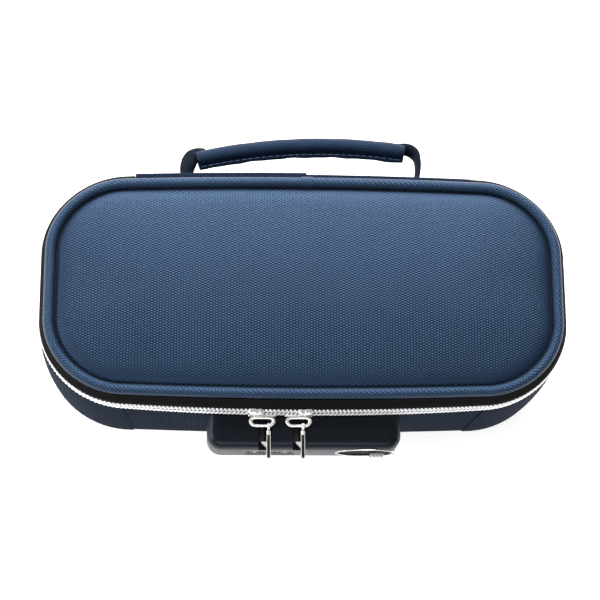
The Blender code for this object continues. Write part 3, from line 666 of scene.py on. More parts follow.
def cover_mesh():
    """The lid's cloth with its thickness: a top skin and a bottom skin that meet at the rim."""
    lengths = [AROUND * step / 400 for step in range(400)]
    rim = [on_plan(length, COVER_EDGE, 0).xy for length in lengths]
    shares = [0, 0.012, 0.025, 0.045, 0.07, 0.1, 0.15, 0.22, 0.3, 0.4, 0.5, 0.6, 0.7, 0.8, 0.9, 1]
    half_ridge = HALF_LENGTH - HALF_DEPTH
    top = crowned(rim, half_ridge, cover_height, shares)
    below = [[point - Vector((0, 0, COVER_CLOTH)) for point in row] for row in top]
    mesh = skin(below[::-1] + top)
    shape = bmesh.new()
    shape.from_mesh(mesh)
    caps = [face for face in shape.faces if len(face.verts) > 4]
    bmesh.ops.delete(shape, geom=caps, context="FACES_ONLY")
    bmesh.ops.remove_doubles(shape, verts=shape.verts, dist=0.02 * MM)
    bmesh.ops.recalc_face_normals(shape, faces=shape.faces)
    shape.to_mesh(mesh)
    shape.free()
    return mesh


# Coated oxford, seen flat: dotted floats in a low satin gloss, with near-black painted shade in the gaps
# between them.
lid_cloth_material = cloth("coated_oxford_lid", "1a2a3e", "010203", COATED, OXFORD_CELL, on="Object")
lid_cover = show("lid_cover", cover_mesh(), lid_cloth_material)
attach(lid_cover, "lid")
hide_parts("lid_cover_cloth")
dress(["lid_board"], foam_material)
dress(["lid_lining"], taffeta_flat)

# The lining's edge, turned up to the zip tape all round and sewn in with it.
lid_lining_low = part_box("lid_lining")[0]
lining_edge = [
    (COVER_EDGE - 2 * MM, lid_lining_low.z - 0.1 * MM),
    (COVER_EDGE, lid_lining_low.z),
    (-2.0 * MM, lid_lining_low.z + 1.2 * MM),
    (0.7 * MM, lid_lining_low.z + 2.0 * MM),
    (0.5 * MM, lid_lining_low.z + 2.4 * MM),
    (-2.2 * MM, lid_lining_low.z + 1.7 * MM),
    (COVER_EDGE, lid_lining_low.z + 0.5 * MM),
    (COVER_EDGE - 2 * MM, lid_lining_low.z + 0.2 * MM),
]
lining_border = show("lid_lining_border", ring(lining_edge), taffeta_material)
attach(lining_border, "lid")

# ---------------------------------------------------------------- piping
# A bias strip of the lid's cloth wrapped round a 4 mm cord and sewn into the lid's edge seam.
# Its ends are lapped at the middle of the back.

BIAS_CELL = (1.9 * MM, 1.5 * MM)
# The near-black second colour is painted shade between the floats.
bias_material = cloth(
    "coated_oxford_bias", "24384f", "010203", COATED, BIAS_CELL, turn=math.radians(10), depth=0.2 * MM
)
piping_section = arc((-PIPING, PIPING_Z), PIPING, 0, 345, 23)
lid_piping = show("lid_piping_cord", ring(piping_section, 1.2 * MM), bias_material)
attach(lid_piping, "lid")
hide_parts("lid_piping")
LAP_AT = AROUND - 1.2 * MM
LAP_HALF = 2.6 * MM
lap_section = arc((-PIPING, PIPING_Z), PIPING + 0.35 * MM, -40, 215, 19)
lap_section += arc((-PIPING, PIPING_Z), PIPING - 0.1 * MM, 215, -40, 19)
piping_lap = show(
    "piping_lap",
    band(LAP_AT - LAP_HALF, LAP_AT + LAP_HALF, lap_section, 0.6 * MM),
    bias_material,
)
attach(piping_lap, "lid")

# ---------------------------------------------------------------- hinge cloth
# Ribbed cloth that joins the back wall to the lid between the zip's ends.

HINGE_THICK = 1 * MM
hinge_line = [
    (WALL_OUT + 0.35 * MM, BACK_TOP - 5 * MM),
    (WALL_OUT + 0.45 * MM, BACK_TOP - 2 * MM),
    (WALL_OUT + 0.5 * MM, ZIP_Z),
    (WALL_OUT + 0.7 * MM, ZIP_Z + 1.5 * MM),
    (WALL_OUT + 0.9 * MM, ZIP_Z + 3 * MM),
    (WALL_OUT + 0.7 * MM, ZIP_Z + 4.6 * MM),
    (WALL_OUT - 0.3 * MM, ZIP_Z + 6.2 * MM),
    (0.6 * MM, PIPING_Z - 1.3 * MM),
]
hinge_section = hinge_line + [(out - HINGE_THICK, z - 0.3 * MM) for out, z in reversed(hinge_line)]
LAP_X = 1.2 * MM
LAP_DROP = 0.9 * MM


def hinge_half(name, start, end, drop):
    """One of the strip's two lengths; drop sets it back from the other, under the lap."""
    section = [(out - drop * min(1.0, max(0.0, (z - BACK_TOP) / (6 * MM))), z) for out, z in hinge_section]
    made = show(name, band(start, end, section), ribbed_material)
    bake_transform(made)
    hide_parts("hinge_cloth")


hinge_half("hinge_strip_left", -LAP_X, HINGE_HALF, 0.0)
hinge_half("hinge_strip_right", -HINGE_HALF, 0.0, LAP_DROP)

# ---------------------------------------------------------------- lock plate and screws
# A pressed, zinc-plated steel plate inside the front wall, and four screws through it into the lock.

# Zinc-plated steel: bluish grey, satin, with a brushed grain from the rolled sheet.
zinc_material = new_material("zinc_plated_steel", "b8bcc2", {"Metallic": 1.0, "Roughness": 0.35})
zinc_place = add_node(zinc_material, "TexCoord").outputs["Object"]
zinc_grain_map = add_node(zinc_material, "Mapping", {"Vector": zinc_place, "Scale": (60.0, 900.0, 900.0)})
zinc_grain = add_node(
    zinc_material, "TexNoise", {"Vector": zinc_grain_map.outputs[0], "Scale": 1.0, "Detail": 3.0}
)
zinc_gloss = add_node(
    zinc_material, "MapRange", {"Value": zinc_grain.outputs[0], "To Min": 0.25, "To Max": 0.45}
)
surface(zinc_material, roughness=zinc_gloss.outputs[0], height=zinc_grain.outputs[0], depth=0.01 * MM)
dress(["lock_back_plate", "lock_screw_1", "lock_screw_2", "lock_screw_3", "lock_screw_4"], zinc_material)

# ---------------------------------------------------------------- lock housing
# One moulding in black ABS with a domed top, a channel for each zip tab, three windows for the
# dials and a thumb dish. It is cored out behind for the latch.

lock_low, lock_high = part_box("lock_housing")
LOCK_HALF = lock_high.x
LOCK_CORNER = 7 * MM
LOCK_TOP_EDGE = 4.6 * MM
LOCK_FOOT_EDGE = 2.2 * MM
LOCK_DOME = 0.6 * MM


def lock_outline(inset):
    """The lock's plan at an inset, flat at the back with rounded front corners."""
    half = LOCK_HALF - inset
    back = lock_high.y - min(inset, 0.9 * MM)
    front = lock_low.y + inset
    radius = max(LOCK_CORNER - inset, 1.5 * MM)
    left = arc((-half + radius, front + radius), radius, 180, 270, 14)
    right = arc((half - radius, front + radius), radius, 270, 360, 14)
    front_points = [(left[-1][0] + (right[0][0] - left[-1][0]) * step / 24, front) for step in range(1, 24)]
    side_points = [(half, front + radius + (back - front - radius) * step / 4) for step in range(1, 4)]
    other_side = [(-half, y) for x, y in reversed(side_points)]
    back_points = [(half - 2 * half * step / 28, back) for step in range(29)]
    return left + front_points + right + side_points + back_points + other_side


def lock_mesh():
    levels = []
    for inset, rise in arc((LOCK_FOOT_EDGE, LOCK_FOOT_EDGE), LOCK_FOOT_EDGE, 270, 180, 5):
        levels.append((inset, lock_low.z + rise))
    edge_foot = lock_high.z - LOCK_DOME - LOCK_TOP_EDGE
    for inset, rise in arc((LOCK_TOP_EDGE, 0), LOCK_TOP_EDGE, 180, 96, 8):
        levels.append((inset, edge_foot + rise))
    rows = [[Vector((x, y, z)) for x, y in lock_outline(inset)] for inset, z in levels]
    rim_z = levels[-1][1]
    rim = [point.xy for point in rows[-1]]
    middle_y = (lock_low.y + lock_high.y) / 2
    for share in (0.15, 0.35, 0.6, 0.85):
        row = []
        for x, y in rim:
            target = Vector((max(-LOCK_HALF + 9 * MM, min(LOCK_HALF - 9 * MM, x)), middle_y))
            flat = Vector((x, y)).lerp(target, share)
            row.append(Vector((flat.x, flat.y, rim_z + LOCK_DOME * (1 - (1 - share) ** 2))))
        rows.append(row)
    return skin(rows)


def block(name, low, high, edge=0.0, segments=3):
    """A mesh object, not shown, of a box between two corners with rounded edges."""
    low = Vector(low)
    high = Vector(high)
    shape = bmesh.new()
    bmesh.ops.create_cube(shape, size=1.0)
    bmesh.ops.scale(shape, vec=high - low, verts=shape.verts)
    bmesh.ops.translate(shape, vec=(high + low) / 2, verts=shape.verts)
    if edge:
        bmesh.ops.bevel(
            shape, geom=shape.edges[:], offset=edge, segments=segments, profile=0.5, affect="EDGES"
        )
    mesh = bpy.data.meshes.new(name)
    shape.to_mesh(mesh)
    shape.free()
    made = bpy.data.objects.new(name, mesh)
    bpy.context.scene.collection.objects.link(made)
    return made


def turned(name, middle, radius, length):
    """A mesh object, not shown, of a cylinder along X."""
    shape = bmesh.new()
    bmesh.ops.create_cone(
        shape,
        cap_ends=True,
        segments=96,
        radius1=radius,
        radius2=radius,
        depth=length,
        matrix=Matrix.Translation(middle) @ Matrix.Rotation(math.pi / 2, 4, "Y"),
    )
    mesh = bpy.data.meshes.new(name)
    shape.to_mesh(mesh)
    shape.free()
    made = bpy.data.objects.new(name, mesh)
    bpy.context.scene.collection.objects.link(made)
    return made


def shaped(mesh, tools):
    """A mesh after the Boolean steps (operation, tool object); the tools are removed."""
    blank = bpy.data.objects.new("blank", mesh)
    bpy.context.scene.collection.objects.link(blank)
    for operation, tool in tools:
        step = blank.modifiers.new(tool.name, "BOOLEAN")
        step.operation = operation
        step.object = tool
        step.solver = "EXACT"
    view = bpy.context.evaluated_depsgraph_get()
    view.update()
    made = bpy.data.meshes.new_from_object(blank.evaluated_get(view))
    for item in [blank] + [tool for _, tool in tools]:
        bpy.data.objects.remove(item, do_unlink=True)
    return made


FRONT = lock_low.y
CHANNEL_DEEP = 5.6 * MM
ROOM_TOP = lock_high.z - CHANNEL_DEEP - 2 * MM
bar_low, bar_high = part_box("latch_bar")
TRAVEL = 5 * MM
AIR = 0.3 * MM
cuts = [
    block(
        "latch_room",
        (-LOCK_HALF + 8.8 * MM, FRONT + 3.4 * MM, lock_low.z + 1.8 * MM),
        (LOCK_HALF - 8.8 * MM, lock_high.y + 1 * MM, ROOM_TOP),
    )
]
for side in ("left", "right"):
    tab_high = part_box(f"tab_{side}")[1]
    right = tab_high.x + 0.45 * MM
    left = right - 6.1 * MM
    cuts.append(
        block(
            f"channel_{side}",
            (left, FRONT - 6 * MM, lock_high.z - CHANNEL_DEEP),
            (right, lock_high.y - 3 * MM, lock_high.z + 4 * MM),
            0.4 * MM,
        )
    )
    cuts.append(
        block(
            f"finger_room_{side}",
            (left - TRAVEL, tab_high.y - 7.6 * MM, lock_high.z - CHANNEL_DEEP),
            (left + 3 * MM, bar_high.y + AIR, lock_high.z - 1.25 * MM),
        )
    )
    cuts.append(
        block(
            f"post_room_{side}",
            (left - TRAVEL, bar_low.y - AIR, ROOM_TOP - 1 * MM),
            (left + 3 * MM, bar_high.y + AIR, lock_high.z - 1.25 * MM),
        )
    )
dial_boxes = [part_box(f"dial_{index}") for index in (1, 2, 3)]
DIAL_RADIUS = (dial_boxes[0][1].z - dial_boxes[0][0].z) / 2
dial_z = (dial_boxes[0][1].z + dial_boxes[0][0].z) / 2
SCOOP_RADIUS = 23 * MM
SCOOP_DEEP = 0.55 * MM
cuts.append(
    turned(
        "dial_scoop",
        ((dial_boxes[0][0].x + dial_boxes[2][1].x) / 2, FRONT + SCOOP_DEEP - SCOOP_RADIUS, dial_z),
        SCOOP_RADIUS,
        dial_boxes[2][1].x - dial_boxes[0][0].x + 3.2 * MM,
    )
)
for index, (low, high) in enumerate(dial_boxes):
    cuts.append(
        turned(
            f"dial_window_{index + 1}",
            ((low.x + high.x) / 2, (low.y + high.y) / 2, dial_z),
            DIAL_RADIUS + 0.25 * MM,
            high.x - low.x + 2 * AIR,
        )
    )
rim_low, rim_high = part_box("dish_rim")
dish_middle = (rim_low + rim_high) / 2
dish_cut = bmesh.new()
bmesh.ops.create_uvsphere(dish_cut, u_segments=48, v_segments=24, radius=1.0)
DISH_DEEP = 2.2 * MM
dish_reach = (rim_high.x - dish_middle.x - 0.3 * MM, DISH_DEEP, rim_high.z - dish_middle.z - 0.3 * MM)
bmesh.ops.scale(dish_cut, vec=dish_reach, verts=dish_cut.verts)
bmesh.ops.translate(dish_cut, vec=(dish_middle.x, FRONT, dish_middle.z), verts=dish_cut.verts)
dish_mesh = bpy.data.meshes.new("dish")
dish_cut.to_mesh(dish_mesh)
dish_cut.free()
dish_tool = bpy.data.objects.new("dish", dish_mesh)
bpy.context.scene.collection.objects.link(dish_tool)
cuts.append(dish_tool)
catch_low, catch_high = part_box("thumb_catch")
cuts.append(
    block(
        "catch_travel",
        (catch_low.x - TRAVEL - AIR, FRONT - 1 * MM, catch_low.z - AIR),
        (catch_high.x + AIR, FRONT + 2.2 * MM, catch_high.z + AIR),
    )
)
cuts.append(
    block(
        "catch_slot",
        ((catch_low.x + catch_high.x) / 2 - 2.3 * MM - TRAVEL, FRONT - 1 * MM, bar_low.z - AIR),
        ((catch_low.x + catch_high.x) / 2 + 2.3 * MM, FRONT + 5 * MM, bar_low.z + 2.9 * MM),
    )
)

# A small cover closes the mould's side-action at the front right corner, with fine joint lines.
for index, (start, end) in enumerate((((39.6, -69.2), (45.4, -71.8)), ((39.3, -70.6), (37.6, -73.0)))):
    first = Vector(start) * MM
    second = Vector(end) * MM
    line = block(
        f"joint_line_{index + 1}",
        (0, -0.13 * MM, lock_high.z - 8 * MM),
        ((second - first).length, 0.13 * MM, lock_high.z + 1 * MM),
    )
    angle = math.atan2(second.y - first.y, second.x - first.x)
    line.data.transform(Matrix.Translation((first.x, first.y, 0)) @ Matrix.Rotation(angle, 4, "Z"))
    cuts.append(line)

# Moulded ABS with a fine spark-eroded texture: satin black, soft wide highlights, IOR of ABS.
ABS_FINISH = {
    "Roughness": 0.36,
    "IOR": 1.53,
    "Specular IOR Level": 0.34,
    "Specular Tint": srgb("c8d6f0"),
}
abs_material = new_material("moulded_black_abs", "040508", ABS_FINISH)
abs_place = add_node(abs_material, "TexCoord").outputs["Object"]
abs_grain = add_node(abs_material, "TexNoise", {"Vector": abs_place, "Scale": 2200.0, "Detail": 3.0})
abs_wear = add_node(abs_material, "TexNoise", {"Vector": abs_place, "Scale": 60.0, "Detail": 4.0})
abs_gloss = add_node(abs_material, "MapRange", {"Value": abs_wear.outputs[0], "To Min": 0.3, "To Max": 0.42})
surface(abs_material, roughness=abs_gloss.outputs[0], height=abs_grain.outputs[0], depth=0.015 * MM)
housing = show(
    "lock_case",
    shaped(lock_mesh(), [("DIFFERENCE", tool) for tool in cuts]),
    abs_material,
    38,
)
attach(housing, "base")
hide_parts("lock_housing")

# ---------------------------------------------------------------- dials
# Three moulded black wheels on a steel shaft, each with ten facets and the digits 0 to 9 printed white.

DIGIT_TALL = 2.2 * MM
# Moulded acetal: black, a little shinier than the case.
acetal_material = grained(
    "moulded_black_acetal", "1b1b1d", {"Roughness": 0.28, "IOR": 1.48}, 1200.0, 2.0, 0.012 * MM
)
# Pad-printed ink: chalky white with slightly uneven cover.
ink_material = new_material("white_pad_print", "e8e8e4", {"Roughness": 0.55, "IOR": 1.5})
ink_place = add_node(ink_material, "TexCoord").outputs["Object"]
ink_cover = add_node(ink_material, "TexNoise", {"Vector": ink_place, "Scale": 3000.0, "Detail": 2.0})
ink_shades = {0: ink_cover.outputs[0], 6: srgb("d6d6d2"), 7: srgb("f2f2ee")}
ink_shade = add_node(ink_material, "Mix", ink_shades, data_type="RGBA")
surface(ink_material, colour=ink_shade.outputs[2])


def wheel_mesh(low, high):
    """A ten-sided wheel with softened facets and a finger groove between them."""
    middle_y = (low.y + high.y) / 2
    rows = []
    for x, shrink in (
        (low.x, 1.2 * MM),
        (low.x, 0.35 * MM),
        (low.x + 0.35 * MM, 0.0),
        (high.x - 0.35 * MM, 0.0),
        (high.x, 0.35 * MM),
        (high.x, 1.2 * MM),
    ):
        row = []
        for facet in range(10):
            for turn, radius in ((-13, 1.0), (-6, 0.985), (6, 0.985), (13, 1.0), (16, 0.93), (20, 0.93)):
                angle = math.radians(36 * facet + turn)
                reach = DIAL_RADIUS * radius - shrink
                row.append(Vector((x, middle_y + reach * math.cos(angle), dial_z + reach * math.sin(angle))))
        rows.append(row)
    return skin(rows)


def digits_mesh(low, high):
    """The digits 0 to 9, raised a hair, one on each facet, 0 to the front."""
    middle = Vector(((low.x + high.x) / 2, (low.y + high.y) / 2, dial_z))
    shape = bmesh.new()
    view = bpy.context.evaluated_depsgraph_get()
    for digit in range(10):
        words = bpy.data.curves.new("digit", "FONT")
        words.body = str(digit)
        words.size = DIGIT_TALL * 1.35
        words.extrude = 0.06 * MM
        words.align_x = "CENTER"
        words.align_y = "CENTER"
        glyph = bpy.data.objects.new("digit", words)
        bpy.context.scene.collection.objects.link(glyph)
        view.update()
        mesh = bpy.data.meshes.new_from_object(glyph.evaluated_get(view))
        stand = Matrix.Rotation(math.pi / 2, 4, "X")
        turn = Matrix.Rotation(math.radians(-36 * digit), 4, "X")
        lift = Matrix.Translation((0, -(DIAL_RADIUS * 0.985 + 0.02 * MM), 0))
        mesh.transform(Matrix.Translation(middle) @ turn @ lift @ stand)
        shape.from_mesh(mesh)
        bpy.data.objects.remove(glyph, do_unlink=True)
    bmesh.ops.remove_doubles(shape, verts=shape.verts, dist=0.002 * MM)
    made = bpy.data.meshes.new("digits")
    shape.to_mesh(made)
    shape.free()
    return made


for index, (low, high) in enumerate(dial_boxes):
    wheel = show(f"dial_wheel_{index + 1}", wheel_mesh(low, high), acetal_material, 25)
    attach(wheel, f"dial_{index + 1}")
    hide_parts(f"dial_{index + 1}")
    digits = show(f"dial_digits_{index + 1}", digits_mesh(low, high), ink_material, 30)
    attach(digits, f"dial_{index + 1}")
dress(["dial_shaft"], zinc_material)

# ---------------------------------------------------------------- latch and thumb catch
# A stamped steel bar with a finger into each tab channel and a return spring. The ribbed catch,
# zinc plated in black nickel, slides it to the left, and a bright ring trims the dish round it.

# Phosphated steel: near black, matt, with fine crystals.
phosphate_material = grained(
    "phosphated_steel", "161617", {"Metallic": 0.6, "Roughness": 0.6}, 2500.0, 3.0, 0.02 * MM
)
dress(["latch_bar"], phosphate_material)
dress(["latch_spring"], zinc_material)
# Black nickel over die-cast zinc: smoky, with soft bright edges.
catch_material = grained(
    "black_nickel_plate", "6a6c72", {"Metallic": 1.0, "Roughness": 0.28}, 900.0, 3.0, 0.012 * MM, (0.2, 0.36)
)
dress(["thumb_catch"], catch_material)

# Bright nickel over polished die-cast zinc: warm silver with a faint ripple from the casting.
nickel_material = grained(
    "bright_nickel_plate", "fbf9f5", {"Metallic": 0.7, "Roughness": 0.2}, 420.0, 2.0, 0.03 * MM, (0.08, 0.2)
)
RIM_WIRE = 0.32 * MM
rim_rows = []
for step in range(72):
    angle = 2 * math.pi * step / 72
    wide = math.cos(angle) * (rim_high.x - dish_middle.x - RIM_WIRE)
    tall = math.sin(angle) * (rim_high.z - dish_middle.z - RIM_WIRE)
    around = Vector((wide, 0, tall))
    away = Vector((math.cos(angle), 0, math.sin(angle)))
    centre = Vector((dish_middle.x, FRONT - 0.05 * MM, dish_middle.z)) + around
    rim_rows.append(
        [
            centre + RIM_WIRE * (math.cos(a) * away + math.sin(a) * Vector((0, 1, 0)))
            for a in [math.pi * k / 4 for k in range(8)]
        ]
    )
dish_ring = show("dish_ring", skin(rim_rows, round_all=True), nickel_material)
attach(dish_ring, "base")
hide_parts("dish_rim")

# ---------------------------------------------------------------- zip sliders
# Die-cast sliders in bright nickel: a front plate whose flanges hold the rows of teeth, and a crown
# on its outer end in which the pull's bail turns. The pair close towards each other.

BODY_LENGTH = 6.9 * MM
WIRE = 0.6 * MM
for side, name in ((-1, "left"), (1, "right")):
    low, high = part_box(f"slider_{name}")
    bail_low, bail_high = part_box(f"bail_{name}")
    outer = low.x if side < 0 else high.x
    inner = outer - side * BODY_LENGTH
    body_back = -HALF_DEPTH - 2.4 * MM
    body_front = -HALF_DEPTH - 6.4 * MM
    body = block(
        "body",
        (min(outer, inner), body_front, low.z + 0.3 * MM),
        (max(outer, inner), body_back, ZIP_Z + 3.7 * MM),
        1.1 * MM,
        4,
    )
    tongue = block(
        "tongue",
        (low.x, body_front - 0.1 * MM, low.z),
        (high.x, body_front + 0.8 * MM, ZIP_Z - 0.6 * MM),
        0.35 * MM,
    )
    notch_x = outer - side * 4.4 * MM
    notch = block(
        "notch",
        (notch_x - 0.9 * MM, body_front - 1 * MM, ZIP_Z + 3.3 * MM),
        (notch_x + 0.9 * MM, body_back + 1 * MM, ZIP_Z + 5 * MM),
        0.25 * MM,
    )
    mesh = shaped(body.data.copy(), [("UNION", tongue), ("DIFFERENCE", notch)])
    bpy.data.objects.remove(body, do_unlink=True)
    slider = show(f"slider_{name}_body", mesh, nickel_material, 35)
    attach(slider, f"slider_{name}")
    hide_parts(f"slider_{name}")
    dress([f"slider_back_{name}"], nickel_material)

# ---------------------------------------------------------------- bails
# Bent nickel-plated wire, flattened a little on the legs. Each turns in its slider's crown and
# carries a pull tab on its front bar.

BEND = 2.6 * MM
joints = frame["record"]["behaviour"]["joints"]
joint_places = {joint["name"]: Vector(joint["pos_m"]) for joint in joints if "pos_m" in joint}
for name in ("left", "right"):
    low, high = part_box(f"bail_{name}")
    half = (high.x - low.x) / 2 - WIRE
    middle_x = (low.x + high.x) / 2
    bar = joint_places[f"tab_{name}_swing"]
    rear = Vector((middle_x, high.y - WIRE + 0.5 * MM, high.z - WIRE + 0.2 * MM))
    front = Vector((middle_x, bar.y, bar.z))
    fall = (front - rear).normalized()
    long = (front - rear).length
    loop = []
    for centre_x, centre_down, start in (
        (half - BEND, long - BEND, 0),
        (BEND - half, long - BEND, 90),
        (BEND - half, BEND * 0.6, 180),
        (half - BEND, BEND * 0.6, 270),
    ):
        tight = BEND if start in (0, 90) else BEND * 0.6
        for step in range(9):
            angle = math.radians(start + 90 * step / 8)
            reach_x = centre_x + BEND * math.cos(angle)
            loop.append(rear + Vector((reach_x, 0, 0)) + fall * (centre_down + tight * math.sin(angle)))
    up = fall.cross(Vector((-1, 0, 0))).normalized()
    rows = []
    for index, point in enumerate(loop):
        along = (loop[(index + 1) % len(loop)] - loop[index - 1]).normalized()
        across = along.cross(up).normalized()
        wide = WIRE * (1.1 + 0.35 * abs(along.dot(fall)))
        row = []
        for step in range(12):
            angle = 2 * math.pi * step / 12
            row.append(point + wide * math.cos(angle) * across + WIRE * math.sin(angle) * up)
        rows.append(row)
    bail = show(f"bail_{name}_wire", skin(rows, round_all=True), nickel_material, 60)
    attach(bail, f"bail_{name}")
    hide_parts(f"bail_{name}")

# ---------------------------------------------------------------- pull tabs
# Die-cast tabs that hang on edge from the bails: two bright cheeks with a sunk web between them, an
# eye round the bail's bar, and a wedge-shaped ear that the latch's finger stands behind.

# Painted shade: a glossy black fill put in the sunk web where only its shadow lies, with a soft orange-peel.
web_shade_fill_material = grained(
    "black_web_shade_fill", "050506", {"Roughness": 0.22, "IOR": 1.52}, 900.0, 2.0, 0.02 * MM
)

TAB_THICK = 2 * MM
SHADE_FILL_DROP = 0.25 * MM
CHEEK = 0.36 * MM
WEB_DROP = 2.4 * MM
EAR_BACK = 7.4 * MM
EAR_FRONT = 10.2 * MM
for name in ("left", "right"):
    low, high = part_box(f"tab_{name}")
    bail_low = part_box(f"bail_{name}")[0]
    left = high.x - TAB_THICK
    top = bail_low.z - 0.1 * MM
    foot = low.z
    end = low.y + 0.6 * MM
    bar = joint_places[f"tab_{name}_swing"]
    eye = Vector((high.x - TAB_THICK / 2, bar.y, bar.z))
    eye_rows = []
    for step in range(28):
        angle = 2 * math.pi * step / 28
        away = Vector((0, math.cos(angle), math.sin(angle)))
        row = []
        for turn in range(12):
            around = 2 * math.pi * turn / 12
            sideways = 0.8 * MM * math.sin(around) * Vector((1, 0, 0))
            row.append(eye + (1.15 * MM + 0.36 * MM * math.cos(around)) * away + sideways)
        eye_rows.append(row)
    neck = block(
        "neck",
        (left + 0.35 * MM, eye.y - 4.2 * MM, top - 2.2 * MM),
        (high.x - 0.35 * MM, eye.y - 1.0 * MM, top + 0.35 * MM),
        0.45 * MM,
    )
    parts = [neck]
    for low_x in (left, high.x - CHEEK):
        parts.append(
            block("cheek", (low_x, end, foot), (low_x + CHEEK, eye.y - 2.4 * MM, top), 0.16 * MM, 2)
        )
    parts.append(
        block(
            "web",
            (left + CHEEK / 2, end + 0.5 * MM, foot + 0.2 * MM),
            (high.x - CHEEK / 2, eye.y - 3.0 * MM, top - WEB_DROP),
        )
    )
    pivot_y = high.y - 1.5 * MM
    ear_rows = []
    for z in (top - 2.6 * MM, top - 0.1 * MM):
        ear_rows.append(
            [
                Vector((left + 0.2 * MM, pivot_y - EAR_BACK, z)),
                Vector((low.x, pivot_y - EAR_BACK, z)),
                Vector((low.x, pivot_y - EAR_BACK - 0.4 * MM, z)),
                Vector((left + 0.2 * MM, pivot_y - EAR_FRONT, z)),
            ]
        )
    ear = bpy.data.objects.new("ear", skin(ear_rows))
    bpy.context.scene.collection.objects.link(ear)
    parts.append(ear)
    tab_mesh = shaped(skin(eye_rows, round_all=True), [("UNION", part) for part in parts])
    tab = show(f"pull_tab_{name}", tab_mesh, nickel_material, 30)
    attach(tab, f"tab_{name}")
    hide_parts(f"tab_{name}")
    # The fill is painted shade: a black sheet standing in for the shadow deep in the sunk web.
    fill = block(
        "fill",
        (left + CHEEK - 0.03 * MM, end + 0.25 * MM, foot + 0.5 * MM),
        (high.x - CHEEK + 0.03 * MM, eye.y - 4.3 * MM, top - SHADE_FILL_DROP),
        0.12 * MM,
        2,
    )
    web_shade_fill = show(f"tab_web_shade_{name}", fill.data, web_shade_fill_material)
    bpy.data.objects.remove(fill)
    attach(web_shade_fill, f"tab_{name}")

# ---------------------------------------------------------------- handle patches
# Squares of the lid's cloth sewn on with a boxed cross, where the webbing comes out of the back.

# Bonded polyester sewing thread: two plies twisted, navy, with a little gloss.
THREAD_FINISH = {"Roughness": 0.5, "IOR": 1.5, "Sheen Weight": 0.2}
thread_material = new_material("bonded_polyester_thread", "2c4566", THREAD_FINISH)
thread_place = add_node(thread_material, "TexCoord").outputs["Object"]
thread_ply = add_node(thread_material, "TexNoise", {"Vector": thread_place, "Scale": 2600.0, "Detail": 1.0})
thread_shades = {0: thread_ply.outputs[0], 6: srgb("1e334e"), 7: srgb("4a668c")}
thread_shade = add_node(thread_material, "Mix", thread_shades, data_type="RGBA")
surface(thread_material, colour=thread_shade.outputs[2], height=thread_ply.outputs[0], depth=0.05 * MM)
STITCH = 2.6 * MM
STITCH_GAP = 0.7 * MM
THREAD = 0.24 * MM


def stitches(lines, lift):
    """Rows of stitches, each a short fat thread that dips at both ends; lift is the way off the cloth."""
    shape = bmesh.new()
    for line in lines:
        lengths = [0.0]
        for first, second in zip(line, line[1:]):
            lengths.append(lengths[-1] + (second - first).length)
        count = max(1, int((lengths[-1] + STITCH_GAP) / (STITCH + STITCH_GAP)))
        pitch = (lengths[-1] + STITCH_GAP) / count
        for index in range(count):
            spots = []
            for share, rise in ((0.0, -0.2), (0.12, 0.35), (0.5, 0.6), (0.88, 0.35), (1.0, -0.2)):
                length = min(index * pitch + share * (pitch - STITCH_GAP), lengths[-1])
                place = max(k for k in range(len(line) - 1) if lengths[k] <= length + 1e-9)
                part = (length - lengths[place]) / max(lengths[place + 1] - lengths[place], 1e-9)
                spots.append(line[place].lerp(line[place + 1], part) + Vector(lift) * rise * THREAD * 1.4)
            mesh = skin(tube_rows(spots, [0.6 * THREAD, THREAD, THREAD, THREAD, 0.6 * THREAD], 6, up=lift))
            shape.from_mesh(mesh)
            bpy.data.meshes.remove(mesh)
    made = bpy.data.meshes.new("stitches")
    shape.to_mesh(made)
    shape.free()
    return made


for name in ("left", "right"):
    low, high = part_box(f"handle_patch_{name}")
    patch_block = block("patch", low, high, 0.5 * MM, 3)
    patch_mesh = patch_block.data.copy()
    bpy.data.objects.remove(patch_block, do_unlink=True)
    patch = show(f"patch_{name}", patch_mesh, lid_cloth_material)
    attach(patch, "base")
    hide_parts(f"handle_patch_{name}")
    inset = 1.8 * MM
    corners = [
        Vector((x, high.y, z))
        for x, z in (
            (low.x + inset, low.z + inset),
            (high.x - inset, low.z + inset),
            (high.x - inset, high.z - inset),
            (low.x + inset, high.z - inset),
        )
    ]
    runs = [[corners[k], corners[(k + 1) % 4]] for k in range(4)]
    runs += [[corners[0], corners[2]], [corners[1], corners[3]]]
    patch_seam = show(f"patch_stitches_{name}", stitches(runs, (0, 1, 0)), thread_material)
    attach(patch_seam, "base")

# ---------------------------------------------------------------- handle legs
# Flat polyester webbing from the patches into the grip. The left leg comes over with its face up,
# and the right one is half twisted, so that its edge shows.

# Woven webbing: coarse plain weave, 1.5 mm as drawn, dark navy and matt, with painted shade between the
# threads.
WEBBING_FINISH = {"Roughness": 0.8, "IOR": 1.5, "Specular IOR Level": 0.15}
webbing_material = cloth(
    "woven_webbing", "121d2e", "03060b", WEBBING_FINISH, (1.5 * MM, 1.5 * MM), turn=0.78, depth=0.2 * MM
)
grip_low, grip_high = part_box("grip_cover")
HANDLE_Z = (grip_low.z + grip_high.z) / 2
patch_high_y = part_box("handle_patch_left")[1].y


def bezier(points, steps):
    made = []
    for index in range(steps + 1):
        t = index / steps
        u = 1 - t
        first, second, third, fourth = (Vector(point) for point in points)
        made.append(u**3 * first + 3 * u * u * t * second + 3 * u * t * t * third + t**3 * fourth)
    return made


